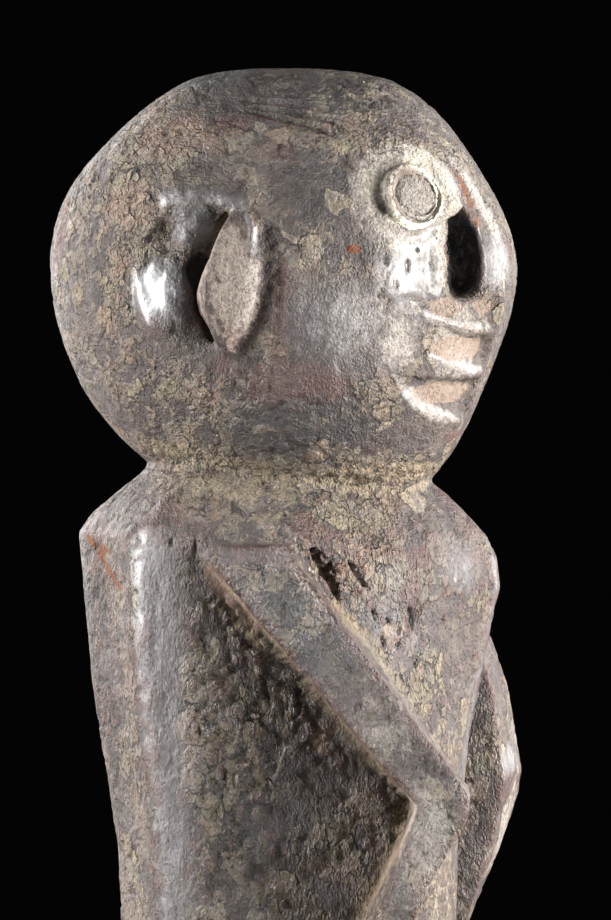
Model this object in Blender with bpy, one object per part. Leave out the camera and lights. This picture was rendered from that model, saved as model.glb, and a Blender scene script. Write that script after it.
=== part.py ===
"""An anthropomorphic statuette, carved with its low base from one block of wood.

It stands on the ground plane and faces -Y, so its right side is at -X. The head is a ball
with ring eyes, a wedge nose set off by deep slots, a stepped mouth and leaf-shaped ears.
The chest comes to an upright edge in front, and the arms are slabs in high relief that
bend at forward-pointing elbows.
"""

import math
from typing import NamedTuple

import bmesh
import bpy
from mathutils import Vector

MM = 0.001
RIGHT, LEFT = -1, 1

# Heights of the storeys of the figure, from the ground up
BASE_HEIGHT = 18 * MM
LEG_HEIGHT = 88 * MM
TORSO_HEIGHT = 145.5 * MM
YOKE_HEIGHT = 17.5 * MM
HEAD_HEIGHT = 91 * MM

# Base
BASE_LENGTH = 112 * MM
BASE_WIDTH = 98 * MM
BASE_CORNER = 30 * MM
BASE_TOP_SLOPE = 3 * MM

# Torso: its half sizes at the shoulder ridge and the waist
SHOULDER_HALF_WIDTH = 44 * MM
SHOULDER_BACK = 46.1 * MM
SHOULDER_FRONT = 48.8 * MM
WAIST_HALF_WIDTH = 41 * MM
WAIST_BACK = 36.4 * MM
WAIST_FRONT = 39 * MM
NECK_RADIUS = 32.5 * MM
SHOULDER_LIFT = 3 * MM
YOKE_TILT = 0.055
TORSO_CORNER = 5 * MM

# Arms
ARM_OUTSIDE = 46 * MM
ARM_INSIDE = 27 * MM
UPPER_ARM_WIDTH = 18.5 * MM
FOREARM_WIDTH = 9.5 * MM
ELBOW_WIDTH = 12 * MM
ELBOW_REACH = 46.8 * MM
LEFT_ELBOW_EXTRA = 3.3 * MM
LEFT_ELBOW_LOWER = 4.5 * MM
ELBOW_DROP = 53 * MM
WRIST_DROP = 112 * MM
HAND_LENGTH = 25 * MM
ARM_WALL_SLOPE = 6 * MM

# Legs
LEG_SPACING = 42 * MM
THIGH_WIDTH = 33 * MM
ANKLE_WIDTH = 24 * MM
KNEE_REACH = 17 * MM
FOOT_LENGTH = 66 * MM
FOOT_WIDTH = 28 * MM
FOOT_HEIGHT = 15 * MM

# Head: its ball, flattened by broad facets and raised or sunk by soft swells
HEAD_HALF_WIDTH = 48 * MM
HEAD_HALF_DEPTH = 54 * MM
CROWN_REACH = 47 * MM
NAPE_REACH = 56.2 * MM
CHIN_REACH = 63 * MM
HEAD_MIDDLE_SHARE = 0.516
FACET_BLEND = 22
FACETS = {
    "crown": (0, 90, 44.3 * MM),
    "forehead": (0, 38, 48.4 * MM),
    "brow": (0, 22, 51.3 * MM),
    "chin": (0, -21, 52.8 * MM),
    "back": (180, 48, 47.7 * MM),
    "right temple": (100, 44, 46.5 * MM),
    "left temple": (-100, 44, 46.5 * MM),
}
CHEEK_SWELL = (69, -24, 1.6 * MM, 15)
TEMPLE_HOLLOW = (77, 17, -1.8 * MM, 15)

# Eyes
EYE_AZIMUTH = 46.5
EYE_RADIUS = 7.6 * MM
EYE_RIM = 1.5 * MM
EYE_RELIEF = 1.3 * MM

# Nose: its edges and the slots beside them, as azimuths, depths and levels from the head's middle
NOSE_AZIMUTH = 22.3
NOSE_FLARE = 8.7
NOSE_FLARE_LOW, NOSE_FLARE_HIGH = 5 * MM, 16 * MM
NOSE_SIDE_DEPTH = 2.2 * MM
SLOT_DEPTH = 10.5 * MM
SLOT_AZIMUTH = 33
SLOT_LEAN = 2.6
CHEEK_DEPTH = 4.6 * MM
CHEEK_AZIMUTH = 60
CHEEK_FALL = 8.2 * MM

# Mouth: how deep its bands are cut under the rims above them, and the ridge between its halves
STEP_DEPTH = 2.7 * MM
LEDGE_DEPTH = 3.6 * MM
SLIT_DEPTH = 5 * MM
RIDGE_AZIMUTH = 13

# Ears
EAR_HEIGHT = 34 * MM
EAR_WIDTH = 11.5 * MM
EAR_BACK = 5.4 * MM
EAR_LEAN = 2 * MM
EAR_RELIEF = 3.2 * MM
SCOOP_DEPTH = 9 * MM
SCOOP_LENGTH = 37 * MM
SCOOP_HEIGHT = 40 * MM

# Levels worked out from the storeys
BASE_TOP = BASE_HEIGHT
CROTCH = BASE_TOP + LEG_HEIGHT
SHOULDER = CROTCH + TORSO_HEIGHT
NECK = SHOULDER + YOKE_HEIGHT
CROWN = NECK + HEAD_HEIGHT
HEAD_MIDDLE = NECK + HEAD_MIDDLE_SHARE * HEAD_HEIGHT


def object_of(name, bm):
    """A mesh object made from bm, with its faces pointing outwards."""
    bm.normal_update()
    bmesh.ops.recalc_face_normals(bm, faces=bm.faces)
    mesh = bpy.data.meshes.new(name)
    bm.to_mesh(mesh)
    bm.free()
    made = bpy.data.objects.new(name, mesh)
    bpy.context.scene.collection.objects.link(made)
    return made


def loft(name, rings):
    """A closed solid through rings of points, each with the same number of points."""
    bm = bmesh.new()
    rows = [[bm.verts.new(point) for point in ring] for ring in rings]
    for lower, upper in zip(rows, rows[1:]):
        for i in range(len(lower)):
            j = (i + 1) % len(lower)
            bm.faces.new((lower[i], lower[j], upper[j], upper[i]))
    bm.faces.new(rows[0])
    bm.faces.new(rows[-1])
    bm.normal_update()
    bmesh.ops.triangulate(bm, faces=bm.faces)
    return object_of(name, bm)


def hull(name, points):
    """The convex solid around points, such as a wedge or a slab with bevelled sides."""
    bm = bmesh.new()
    for point in points:
        bm.verts.new(point)
    made = bmesh.ops.convex_hull(bm, input=bm.verts)
    spare = [v for v in made["geom_interior"] if isinstance(v, bmesh.types.BMVert)]
    bmesh.ops.delete(bm, geom=spare, context="VERTS")
    return object_of(name, bm)


def combine(body, tool, operation):
    """Joins tool to body, or cuts it away, and removes the tool."""
    modifier = body.modifiers.new(operation.title(), "BOOLEAN")
    modifier.operation = operation
    modifier.object = tool
    bpy.context.view_layer.update()
    graph = bpy.context.evaluated_depsgraph_get()
    mesh = bpy.data.meshes.new_from_object(body.evaluated_get(graph))
    body.modifiers.clear()
    body.data = mesh
    bpy.data.objects.remove(tool)


def add(body, tool):
    """Joins a raised form to the body."""
    combine(body, tool, "UNION")


def carve(body, tool):
    """Cuts a hollow into the body."""
    combine(body, tool, "DIFFERENCE")


def blend(low, high, share):
    """The value a share of the way from low to high."""
    return low + (high - low) * share


def rounded(corners, radius, steps=2):
    """The outline of a polygon with its corners rounded, as (x, y) points."""
    outline = []
    count = len(corners)
    for i, corner in enumerate(corners):
        here = Vector(corner)
        to_last = Vector(corners[i - 1]) - here
        to_next = Vector(corners[(i + 1) % count]) - here
        reach = min(radius, 0.45 * to_last.length, 0.45 * to_next.length)
        start = here + to_last.normalized() * reach
        end = here + to_next.normalized() * reach
        for step in range(steps + 1):
            t = step / steps
            outline.append((1 - t) ** 2 * start + 2 * t * (1 - t) * here + t**2 * end)
    return outline


def torso_ring(z, half_width, back, front, flank, tilt=0.0, lift=0.0):
    """The torso's section at one height, with an upright edge in front.

    Flank gives the corner between flank and chest, which lies under the arm, as shares of the
    half width and of the front. Tilt raises the ring at the back, and lift raises its sides.
    """
    flank_x, flank_y = flank
    side = [
        (0.34 * half_width, back),
        (0.96 * half_width, 0.60 * back),
        (flank_x * half_width, -flank_y * front),
        (0.55 * flank_x * half_width, -blend(flank_y, 1.0, 0.66) * front),
        (0.07 * half_width, -front),
    ]
    corners = side + [(-x, y) for x, y in reversed(side)]
    ring = []
    for point in rounded(corners, TORSO_CORNER):
        rise = tilt * point.y + lift * min(1.0, abs(point.x) / half_width)
        ring.append((point.x, point.y, z + rise))
    return ring


def torso():
    """The trunk from between the legs to inside the head: hips, waist, chest and yoke."""
    wide, back, front = WAIST_HALF_WIDTH, WAIST_BACK, WAIST_FRONT
    rings = [
        torso_ring(CROTCH - 5 * MM, 0.60 * wide, 0.50 * back, 0.42 * front, (0.98, 0.30)),
        torso_ring(CROTCH + 4 * MM, 0.84 * wide, 0.98 * back, 0.68 * front, (0.98, 0.28)),
        torso_ring(CROTCH + 0.124 * TORSO_HEIGHT, 0.92 * wide, 1.16 * back, 0.84 * front, (0.96, 0.24)),
        torso_ring(CROTCH + 0.316 * TORSO_HEIGHT, 0.94 * wide, back, 0.99 * front, (0.84, 0.52)),
        torso_ring(CROTCH + 0.536 * TORSO_HEIGHT, wide, 1.03 * back, front, (0.79, 0.84)),
        torso_ring(SHOULDER - 0.302 * TORSO_HEIGHT, 1.04 * wide, 1.13 * back, 1.065 * front, (0.77, 0.78)),
    ]
    wide, back, front = SHOULDER_HALF_WIDTH, SHOULDER_BACK, SHOULDER_FRONT
    rings += [
        torso_ring(SHOULDER - 0.206 * TORSO_HEIGHT, 0.98 * wide, 0.94 * back, 0.91 * front, (0.81, 0.48)),
        torso_ring(SHOULDER - 0.110 * TORSO_HEIGHT, 0.99 * wide, 0.965 * back, 0.965 * front, (0.89, 0.25)),
        torso_ring(SHOULDER - 0.041 * TORSO_HEIGHT, 0.99 * wide, 0.99 * back, front, (0.96, 0.17), YOKE_TILT),
        torso_ring(SHOULDER, wide, back, 0.985 * front, (0.98, 0.16), YOKE_TILT, SHOULDER_LIFT),
    ]
    for share, drop in ((0.27, 0.21), (0.53, 0.54), (0.77, 0.87)):
        half_width = blend(wide, NECK_RADIUS, drop)
        section = (blend(back, NECK_RADIUS, drop), blend(front, NECK_RADIUS + 1.5 * MM, 0.92 * drop))
        level = blend(SHOULDER, NECK, share)
        lifted = (1 - share) * SHOULDER_LIFT
        rings.append(torso_ring(level, half_width, *section, (0.97, 0.2), YOKE_TILT, lifted))
    inside = 0.74 * NECK_RADIUS
    rings.append(torso_ring(NECK + 6 * MM, inside, inside, inside, (0.97, 0.2), YOKE_TILT))
    return loft("torso", rings)


def relief(name, side, outline, inside):
    """A slab in relief on one side of the body.

    The outline holds (y, z, x, slope) for each corner of its outer face. The inner face lies at
    x = inside, and slope is how far the wall spreads outwards on its way in to it.
    """
    count = len(outline)
    bm = bmesh.new()
    outer = [bm.verts.new((side * x, y, z)) for y, z, x, _ in outline]
    turn = sum(outline[i - 1][0] * outline[i][1] - outline[i][0] * outline[i - 1][1] for i in range(count))
    way = math.copysign(1.0, turn)
    inner = []
    for i in range(count):
        here = Vector(outline[i][:2])
        last = (here - Vector(outline[i - 1][:2])).normalized()
        following = (Vector(outline[(i + 1) % count][:2]) - here).normalized()
        out = Vector((last.y + following.y, -last.x - following.x)).normalized() * way
        wide = here + out * outline[i][3]
        inner.append(bm.verts.new((side * inside, wide.x, wide.y)))
    for i in range(count):
        j = (i + 1) % count
        bm.faces.new((outer[i], outer[j], inner[j], inner[i]))
    bm.faces.new(outer)
    bm.faces.new(inner)
    bm.normal_update()
    bmesh.ops.triangulate(bm, faces=bm.faces)
    return object_of(name, bm)


def arm(side, figure):
    """One arm as one slab: forward to the elbow, back to the hip, and the hand laid on the hip."""
    top = SHOULDER + 3 * MM
    elbow = SHOULDER - ELBOW_DROP
    wrist = SHOULDER - WRIST_DROP
    fingers = wrist - HAND_LENGTH
    out, low = ARM_OUTSIDE, 0.88 * ARM_OUTSIDE
    shoulder = 0.965 * out
    slope = ARM_WALL_SLOPE
    reach = ELBOW_REACH
    front_top = -6.5 * MM
    upper = [(front_top, top, shoulder, 0.0), (front_top - 2 * MM, SHOULDER - 1 * MM, out, 0.1 * slope)]
    fore_share, wrist_share = 0.80, 0.42
    if side == LEFT:
        # The carver left this arm fuller in front, and its elbow lower and further forward
        reach = ELBOW_REACH + LEFT_ELBOW_EXTRA
        upper = [
            (front_top, top, shoulder, 0.0),
            (-0.66 * reach, SHOULDER - 0.16 * ELBOW_DROP, out, 0.1 * slope),
            (-0.85 * reach, SHOULDER - 0.46 * ELBOW_DROP, out, -0.2 * slope),
            (-0.93 * reach, SHOULDER - 0.68 * ELBOW_DROP, out, -0.3 * slope),
        ]
        elbow -= LEFT_ELBOW_LOWER
        fore_share, wrist_share = 0.915, 0.60
    wrist_front = -wrist_share * reach
    fore_front = -fore_share * reach
    fore_level = blend(SHOULDER - ELBOW_DROP, wrist, 0.32)
    knuckles = blend(wrist, fingers, 0.35)
    outline = upper + [
        (-reach, elbow + 2 * MM, out, -0.4 * slope),
        (-0.985 * reach, elbow - 4 * MM, out, -0.4 * slope),
        (fore_front, fore_level, 0.99 * out, -0.2 * slope),
        (wrist_front, wrist, low, 0.3 * slope),
        (wrist_front - 2 * MM, knuckles, low, 0.5 * slope),
        (wrist_front + 4 * MM, fingers, 0.97 * low, 0.3 * slope),
        (wrist_front + 18 * MM, fingers, 0.97 * low, 0.3 * slope),
        (wrist_front + 20 * MM, knuckles, low, 0.5 * slope),
        (wrist_front + FOREARM_WIDTH + 1 * MM, wrist, low, 0.6 * slope),
        (fore_front + 0.95 * FOREARM_WIDTH, fore_level, 0.99 * out, 0.7 * slope),
        (-ELBOW_REACH + ELBOW_WIDTH, elbow - 1 * MM, out, 0.6 * slope),
        (front_top + UPPER_ARM_WIDTH, SHOULDER, out, 0.8 * slope),
        (front_top + 0.9 * UPPER_ARM_WIDTH, top, shoulder, 0.0),
    ]
    add(figure, relief("arm", side, outline, ARM_INSIDE))


def leg(side, figure):
    """One short leg, bent at the knee, and its block foot."""
    middle = side * LEG_SPACING / 2
    stations = (
        (-0.02, 1.00, 0.0),
        (0.16, 1.02, 0.0),
        (0.34, 0.98, 0.25),
        (0.58, 1.05, 0.95),
        (0.66, 1.10, 1.0),
        (0.80, 1.50, 0.66),
        (0.94, 2.05, 0.24),
        (1.16, 2.20, 0.1),
    )
    rings = []
    for share, depth_share, bend in stations:
        z = BASE_TOP + share * LEG_HEIGHT
        half_width = blend(ANKLE_WIDTH, THIGH_WIDTH, min(max(share, 0.0), 1.0)) / 2
        half_depth = 0.5 * ANKLE_WIDTH * depth_share
        y = 4 * MM - bend * KNEE_REACH
        corners = [
            (middle + half_width, y + half_depth),
            (middle + half_width, y - half_depth),
            (middle - half_width, y - half_depth),
            (middle - half_width, y + half_depth),
        ]
        rings.append([(p.x, p.y, z) for p in rounded(corners, 0.6 * half_width, 3)])
    add(figure, loft("leg", rings))

    heel = 5 * MM + 0.32 * FOOT_LENGTH
    toe = heel - FOOT_LENGTH
    half = FOOT_WIDTH / 2
    upper = BASE_TOP + FOOT_HEIGHT
    foot = []
    for x in (-half, half):
        foot += [(middle + x, y, BASE_TOP - 2 * MM) for y in (heel, toe)]
        foot.append((middle + 0.8 * x, toe + 3 * MM, BASE_TOP + 0.5 * FOOT_HEIGHT))
        foot.append((middle + 0.8 * x, heel - 3 * MM, upper))
        foot.append((middle + 0.7 * x, heel - 0.55 * FOOT_LENGTH, upper))
    add(figure, hull("foot", foot))


def base():
    """The low base, cut with the figure from the same block."""
    x, y = BASE_WIDTH / 2, BASE_LENGTH / 2
    foot = rounded([(x, y), (x, -y), (-x, -y), (-x, y)], BASE_CORNER, 6)
    shrink = 1 - BASE_TOP_SLOPE / x
    return loft(
        "base",
        [
            [(p.x, p.y, 0.0) for p in foot],
            [(p.x, p.y, 0.55 * BASE_HEIGHT) for p in foot],
            [(shrink * p.x, shrink * p.y, BASE_TOP) for p in foot],
        ],
    )


def direction(azimuth, elevation):
    """A unit vector, from degrees. Azimuth 0 is the front, and it grows towards -X, the right ear."""
    azimuth, elevation = math.radians(azimuth), math.radians(elevation)
    level = math.cos(elevation)
    return Vector((-level * math.sin(azimuth), -level * math.cos(azimuth), math.sin(elevation)))


def head_measure(point):
    """1 on the head's surface, less inside it and more outside, for a point from the head's middle."""
    flat = math.hypot(point.x, point.y)
    front = 0.5 - 0.5 * point.y / flat if flat else 0.5
    reach = CROWN_REACH if point.z > 0 else blend(NAPE_REACH, CHIN_REACH, front)
    ball = math.sqrt(
        (point.x / HEAD_HALF_WIDTH) ** 2 + (point.y / HEAD_HALF_DEPTH) ** 2 + (point.z / reach) ** 2
    )
    total = ball**FACET_BLEND
    for azimuth, elevation, distance in FACETS.values():
        total += max(0.0, point.dot(direction(azimuth, elevation)) / distance) ** FACET_BLEND
    swell = 0.0
    for azimuth, elevation, rise, spread in (CHEEK_SWELL, TEMPLE_HOLLOW):
        for side in (RIGHT, LEFT):
            off = math.degrees(point.angle(direction(-side * azimuth, elevation)))
            swell += rise * math.exp(-0.5 * (off / spread) ** 2)
    return total ** (1 / FACET_BLEND) / (1 + swell / HEAD_HALF_WIDTH)


def on_head(azimuth, z, proud=0.0):
    """A point on the head's ball, or proud of it, at an azimuth in degrees and a height."""
    level = direction(azimuth, 0)
    inside, outside = 0.0, 1.3 * HEAD_HALF_DEPTH
    for _ in range(24):
        middle = 0.5 * (inside + outside)
        point = level * middle + Vector((0, 0, z - HEAD_MIDDLE))
        if head_measure(point) < 1:
            inside = middle
        else:
            outside = middle
    found = level * (inside + proud)
    return Vector((found.x, found.y, z))


class Row(NamedTuple):
    """One level of the head's grid in the face, from the head's middle, and what is cut there.

    Its rise and its cut of the mouth run out at the azimuth far. The other cuts are shares.
    """

    level: float
    rise: float = 0.0
    far: float = 50.0
    mouth: float = 0.0
    side: float = 0.0
    slot: float = 0.0
    cheek: float = 0.0


def face_rows():
    """The rows of the face, from the chin's rim up to the forehead."""
    fall = -CHEEK_FALL
    return [
        Row(-35.4 * MM, 9.0 * MM, 55),
        Row(-32.0 * MM, 6.5 * MM, 55, 0.75 * STEP_DEPTH),
        Row(-27.4 * MM, 1.4 * MM, 52, STEP_DEPTH),
        Row(-26.7 * MM, 1.2 * MM, 49, SLIT_DEPTH),
        Row(-25.8 * MM, 1.2 * MM, 50),
        Row(-24.8 * MM, 6.0 * MM, 42),
        Row(-21.5 * MM, 5.6 * MM, 43, 0.75 * STEP_DEPTH),
        Row(-17.0 * MM, 5.2 * MM, 44, 0.9 * STEP_DEPTH),
        Row(-15.6 * MM, 5.5 * MM, 46),
        Row(-12.0 * MM, 4.0 * MM, 47, 0.7 * LEDGE_DEPTH, cheek=0.4),
        Row(-8.2 * MM, 1.5 * MM, 48, LEDGE_DEPTH, cheek=0.7),
        Row(-7.2 * MM, side=1.0, slot=0.85, cheek=0.9),
        Row(-4.6 * MM, side=1.0, slot=1.0, cheek=1.0),
        Row(-1.5 * MM, side=1.0, slot=1.0, cheek=1.0),
        Row(1.5 * MM, side=1.0, slot=1.0, cheek=1.0),
        Row(6.8 * MM, 0.6 * fall, 58, side=1.0, slot=1.0, cheek=1.0),
        Row(11.0 * MM, fall, 58, side=0.75, slot=0.7, cheek=1.0),
        Row(12.4 * MM, fall, 58, side=0.65),
        Row(16.5 * MM, 0.8 * fall, 58, side=0.3),
        Row(20.5 * MM, 0.5 * fall, 58),
        Row(25.0 * MM, 0.2 * fall, 58),
    ]


def share_between(value, low, high):
    """How far value is from low to high, kept from 0 to 1."""
    return min(max((value - low) / (high - low), 0.0), 1.0)


def head_columns(level):
    """The azimuths of the grid's columns on one side, at a level from the head's middle."""
    flare = NOSE_FLARE * share_between(level, NOSE_FLARE_LOW, NOSE_FLARE_HIGH)
    nose = NOSE_AZIMUTH + flare
    ridge = RIDGE_AZIMUTH - 2 * share_between(level, -18 * MM, -35 * MM)
    cheek = SLOT_AZIMUTH - SLOT_LEAN * share_between(level, -5 * MM, 13 * MM)
    slot = (nose + 0.05 * (cheek - nose), blend(nose, cheek, 0.55), cheek)
    outer = [blend(cheek, CHEEK_AZIMUTH, k / 6) for k in range(1, 7)]
    behind = [blend(CHEEK_AZIMUTH, 180, k / 12) for k in range(1, 12)]
    return [5, 9, ridge, ridge + 1.2, blend(ridge, nose, 0.55), nose, *slot, *outer, *behind]


def face_cut(row, azimuth, columns):
    """How deep the face is cut in at a row and an azimuth of the grid."""
    ridge, start, nose, wall, inner = columns[2], columns[3], columns[5], columns[6], columns[8]
    depth = 0.0
    along = share_between(azimuth, start, row.far)
    if azimuth > ridge and azimuth <= row.far:
        depth = row.mouth * math.sqrt(1 - 0.96 * along**2)
    if azimuth <= nose:
        depth = max(depth, row.side * NOSE_SIDE_DEPTH * share_between(azimuth, 0.2 * nose, nose) ** 1.4)
    elif azimuth < inner:
        depth = max(depth, row.slot * SLOT_DEPTH, row.cheek * CHEEK_DEPTH)
    else:
        outwards = share_between(azimuth, inner, CHEEK_AZIMUTH)
        depth = max(depth, row.cheek * CHEEK_DEPTH * (1 - outwards) ** 0.85)
    return depth


def head():
    """The head's ball with the nose, the cheeks and the mouth, closed below inside the yoke."""
    rows = face_rows()
    foot, top = NECK - 9 * MM - HEAD_MIDDLE, CROWN - 0.4 * MM - HEAD_MIDDLE
    below, above = 5, 6
    first, last = rows[0].level, rows[-1].level
    low = [Row(blend(foot, first, k / below)) for k in range(below)]
    high = [Row(blend(last, top, math.sin(0.5 * math.pi * k / above))) for k in range(1, above + 1)]
    rows = low + rows + high
    rings = []
    for k, row in enumerate(rows):
        sweep = k / (len(rows) - 1)
        even = blend(foot, top, 0.5 - 0.5 * math.cos(math.pi * blend(0.12, 1.0, sweep))) - 0.03 * (1 - sweep) * (top - foot)
        even = max(even, foot)
        columns = head_columns(row.level)
        half = []
        for azimuth in columns:
            past_slot = share_between(azimuth, columns[8] if row.level > 2 * MM else columns[3], row.far)
            face = row.level + row.rise * past_slot ** (1.0 if row.rise < 0 else 2.5)
            behind = share_between(azimuth, CHEEK_AZIMUTH, 105)
            z = HEAD_MIDDLE + blend(face, even, behind**2 * (3 - 2 * behind))
            half.append((azimuth, z, face_cut(row, azimuth, columns)))
        ring = [on_head(0, HEAD_MIDDLE + row.level)]
        ring += [on_head(azimuth, z, -cut) for azimuth, z, cut in half]
        ring.append(on_head(180, HEAD_MIDDLE + even))
        ring += [on_head(-azimuth, z, -cut) for azimuth, z, cut in reversed(half)]
        rings.append(ring)
    return loft("head", rings)


def disc(name, centre, normal, radius, low, high, top_share=1.0, steps=20):
    """A low round boss on a surface, from low to high along its normal."""
    across = normal.orthogonal().normalized()
    up = normal.cross(across)
    rings = []
    for height, size in ((low, radius), (blend(low, high, 0.7), radius), (high, top_share * radius)):
        ring = []
        for k in range(steps):
            angle = 2 * math.pi * k / steps
            spoke = across * math.cos(angle) + up * math.sin(angle)
            ring.append(centre + normal * height + spoke * size)
        rings.append(ring)
    return loft(name, rings)


def eye(side, figure):
    """One eye: a raised rim around a sunken ring and a low middle."""
    azimuth, z = -side * EYE_AZIMUTH, HEAD_MIDDLE + 15 * MM
    centre = on_head(azimuth, z)
    east = on_head(azimuth + 4, z) - on_head(azimuth - 4, z)
    north = on_head(azimuth, z + 3 * MM) - on_head(azimuth, z - 3 * MM)
    normal = north.cross(east).normalized()
    if normal.dot(Vector((centre.x, centre.y, 0))) < 0:
        normal.negate()
    centre = centre - normal * 0.3 * MM
    ring = EYE_RADIUS - EYE_RIM
    add(figure, disc("eye_rim", centre, normal, EYE_RADIUS, -4 * MM, EYE_RELIEF, 0.93))
    carve(figure, disc("eye_sinking", centre, normal, ring, -0.9 * MM, 4 * MM))
    add(figure, disc("eye_middle", centre, normal, 0.78 * ring, -3.5 * MM, 0.5 * EYE_RELIEF, 0.85))


def ear(side, figure):
    """One ear: a leaf-shaped slab, standing along its rear edge over a scooped hollow."""
    middle = HEAD_MIDDLE - 3 * MM
    out = abs(on_head(90, middle).x)
    bm = bmesh.new()
    bmesh.ops.create_icosphere(bm, subdivisions=3, radius=1.0)
    reach = SCOOP_DEPTH + 2 * MM
    for v in bm.verts:
        x = side * (out + 2 * MM + v.co.x * reach)
        y = EAR_BACK + 0.30 * SCOOP_LENGTH + v.co.y * 0.5 * SCOOP_LENGTH
        v.co = Vector((x, y, middle + 1 * MM + v.co.z * 0.5 * SCOOP_HEIGHT))
    carve(figure, object_of("scoop", bm))

    leaf = []
    steps = 10
    for k in range(steps + 1):
        along = 2 * k / steps - 1
        swell = (1 - along**2) ** 0.8
        z = middle + 0.5 * along * EAR_HEIGHT
        y = EAR_BACK - EAR_LEAN * along
        surface = abs(on_head(-side * 83, z).x)
        rear = y + 0.5 * EAR_WIDTH * swell + 0.3 * MM
        fore = y - 0.5 * EAR_WIDTH * swell - 0.3 * MM
        leaf.append((side * (surface + EAR_RELIEF * (0.2 + 0.8 * swell)), rear, z))
        leaf.append((side * (surface + 0.35 * EAR_RELIEF * swell), fore, z))
        leaf += [(side * (surface - 12 * MM), y, z) for y in (rear, fore)]
    add(figure, hull("ear", leaf))


def wood():
    """Old dark wood under a grey-brown crust."""
    material = bpy.data.materials.new("crusted_wood")
    material.use_nodes = True
    shader = material.node_tree.nodes["Principled BSDF"]
    shader.inputs["Base Color"].default_value = (0.13, 0.095, 0.075, 1.0)
    shader.inputs["Roughness"].default_value = 0.55
    shader.inputs["Metallic"].default_value = 0.0
    return material


def main():
    """Clears the scene and carves the figure."""
    for found in list(bpy.data.objects):
        bpy.data.objects.remove(found)
    figure = torso()
    add(figure, head())
    for side in (RIGHT, LEFT):
        arm(side, figure)
        leg(side, figure)
    add(figure, base())
    for side in (RIGHT, LEFT):
        ear(side, figure)
        eye(side, figure)
    figure.name = "statuette"
    figure.data.name = "statuette"
    figure.data.materials.append(wood())
    figure.data.shade_smooth()
    figure.data.set_sharp_from_angle(angle=math.radians(30))


if __name__ == "__main__":
    main()
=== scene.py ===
"""The dressed statuette: one block of old wood under a flaking crust, on a pale studio floor.

The carved figure is one piece. Its surface starts from the solid of the frame, is worn
smooth at its edges, cut with the carver's grooves and the splits of age, roughened with
a crust, and painted with the places where the crust is polished, dusty or lost, with
painted shade near black in its crevices and splits and painted sheen where it is polished.
All places are in millimetres from the middle of the base's underside: +X is the figure's
left, -Y its front and +Z up. A mark is placed as if it were on the left half, and its side
says whether it is made on both halves, on the right or on the left.
"""

from __future__ import annotations

import logging
import math
import sys
from dataclasses import dataclass, field, replace
from enum import Enum
from typing import Any, Iterable, Sequence, Union

import bmesh
import bpy
import numpy as np
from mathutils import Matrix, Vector


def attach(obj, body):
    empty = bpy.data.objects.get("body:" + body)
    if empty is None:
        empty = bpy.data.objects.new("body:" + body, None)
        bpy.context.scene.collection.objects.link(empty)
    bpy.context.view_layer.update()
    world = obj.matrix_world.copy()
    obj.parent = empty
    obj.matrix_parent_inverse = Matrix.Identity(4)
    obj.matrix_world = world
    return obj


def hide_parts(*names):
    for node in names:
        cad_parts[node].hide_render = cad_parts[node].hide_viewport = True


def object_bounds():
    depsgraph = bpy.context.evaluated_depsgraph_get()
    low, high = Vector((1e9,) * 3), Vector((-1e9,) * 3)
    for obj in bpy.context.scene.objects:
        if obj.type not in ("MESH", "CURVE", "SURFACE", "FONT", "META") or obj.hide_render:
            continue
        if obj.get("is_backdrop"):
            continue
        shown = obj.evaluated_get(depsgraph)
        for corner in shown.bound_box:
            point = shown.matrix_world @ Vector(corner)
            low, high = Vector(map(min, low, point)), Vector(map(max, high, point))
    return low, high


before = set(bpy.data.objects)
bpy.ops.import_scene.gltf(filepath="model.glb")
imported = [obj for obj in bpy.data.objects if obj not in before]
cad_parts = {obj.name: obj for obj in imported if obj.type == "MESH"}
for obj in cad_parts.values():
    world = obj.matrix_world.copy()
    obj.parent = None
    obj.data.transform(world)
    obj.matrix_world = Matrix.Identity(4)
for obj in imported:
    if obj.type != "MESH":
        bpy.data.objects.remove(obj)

log = logging.getLogger("statuette")

MM = 0.001
Socket = bpy.types.NodeSocket
Value = Union[float, Socket]
Place = tuple[float, float, float]

# How fast a mark fades towards its rim.
FALLOFF = 1.5
# How wide a tapered line is at its ends, as a share of its width, and how blunt it ends.
TIP_WIDTH = 0.12
TIP_BLUNTNESS = 0.6


# ---------------------------------------------------------------- marks on the carving


class Side(Enum):
    """The half of the figure that a mark is on."""

    BOTH = 0
    RIGHT = -1
    LEFT = 1


class Zone(Enum):
    """A finish that some places of the surface have more of than others."""

    # Worn gloss; its tint in the colour is painted sheen.
    POLISH = "polish"
    CREAM = "cream"
    TAN = "tan"
    # A darker tone, and painted shade on the crown, under the jaw, on the flank under the arm and along the ear's
    # crevice.
    DARK = "dark"
    RUST = "rust"
    AMBER = "amber"
    # Painted shade, near black, in crevices, slots, splits and pores.
    SOOT_AND_SHADE = "soot_and_shade"
    PINK = "pink"
    TORN = "torn"
    CHIPS = "chips"
    EVEN = "even"
    PEACH = "peach"
    # A blue-grey tone, mostly painted sheen on polished ridges, rims and bulges.
    BLUE = "blue"
    # A paler tone, and painted highlight on the cheek facets, the nose, the mouth's rims and the far forearm.
    PALE_AND_LIT = "pale"
    CHALK = "chalk"


@dataclass(frozen=True)
class Patch:
    """A soft oval place on the surface.

    It can push the surface in or out, and it can hold a finish.
    """

    centre: Place
    radii: Place
    zone: Zone | None = None
    strength: float = 1.0
    push: float = 0.0
    side: Side = Side.BOTH
    soften: float = 0.0

    def share(self, points: np.ndarray) -> np.ndarray:
        """How far inside the patch each point is.

        Args:
            points: The points in millimetres, one a row.

        Returns:
            For each point 1 at the centre, falling smoothly to 0 at the rim.
        """
        x = on_side(points, self.side)
        offset = np.column_stack((x, points[:, 1:])) - np.array(self.centre)
        square = ((offset / np.array(self.radii)) ** 2).sum(1)
        return np.clip(1.0 - square, 0.0, 1.0) ** FALLOFF


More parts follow.
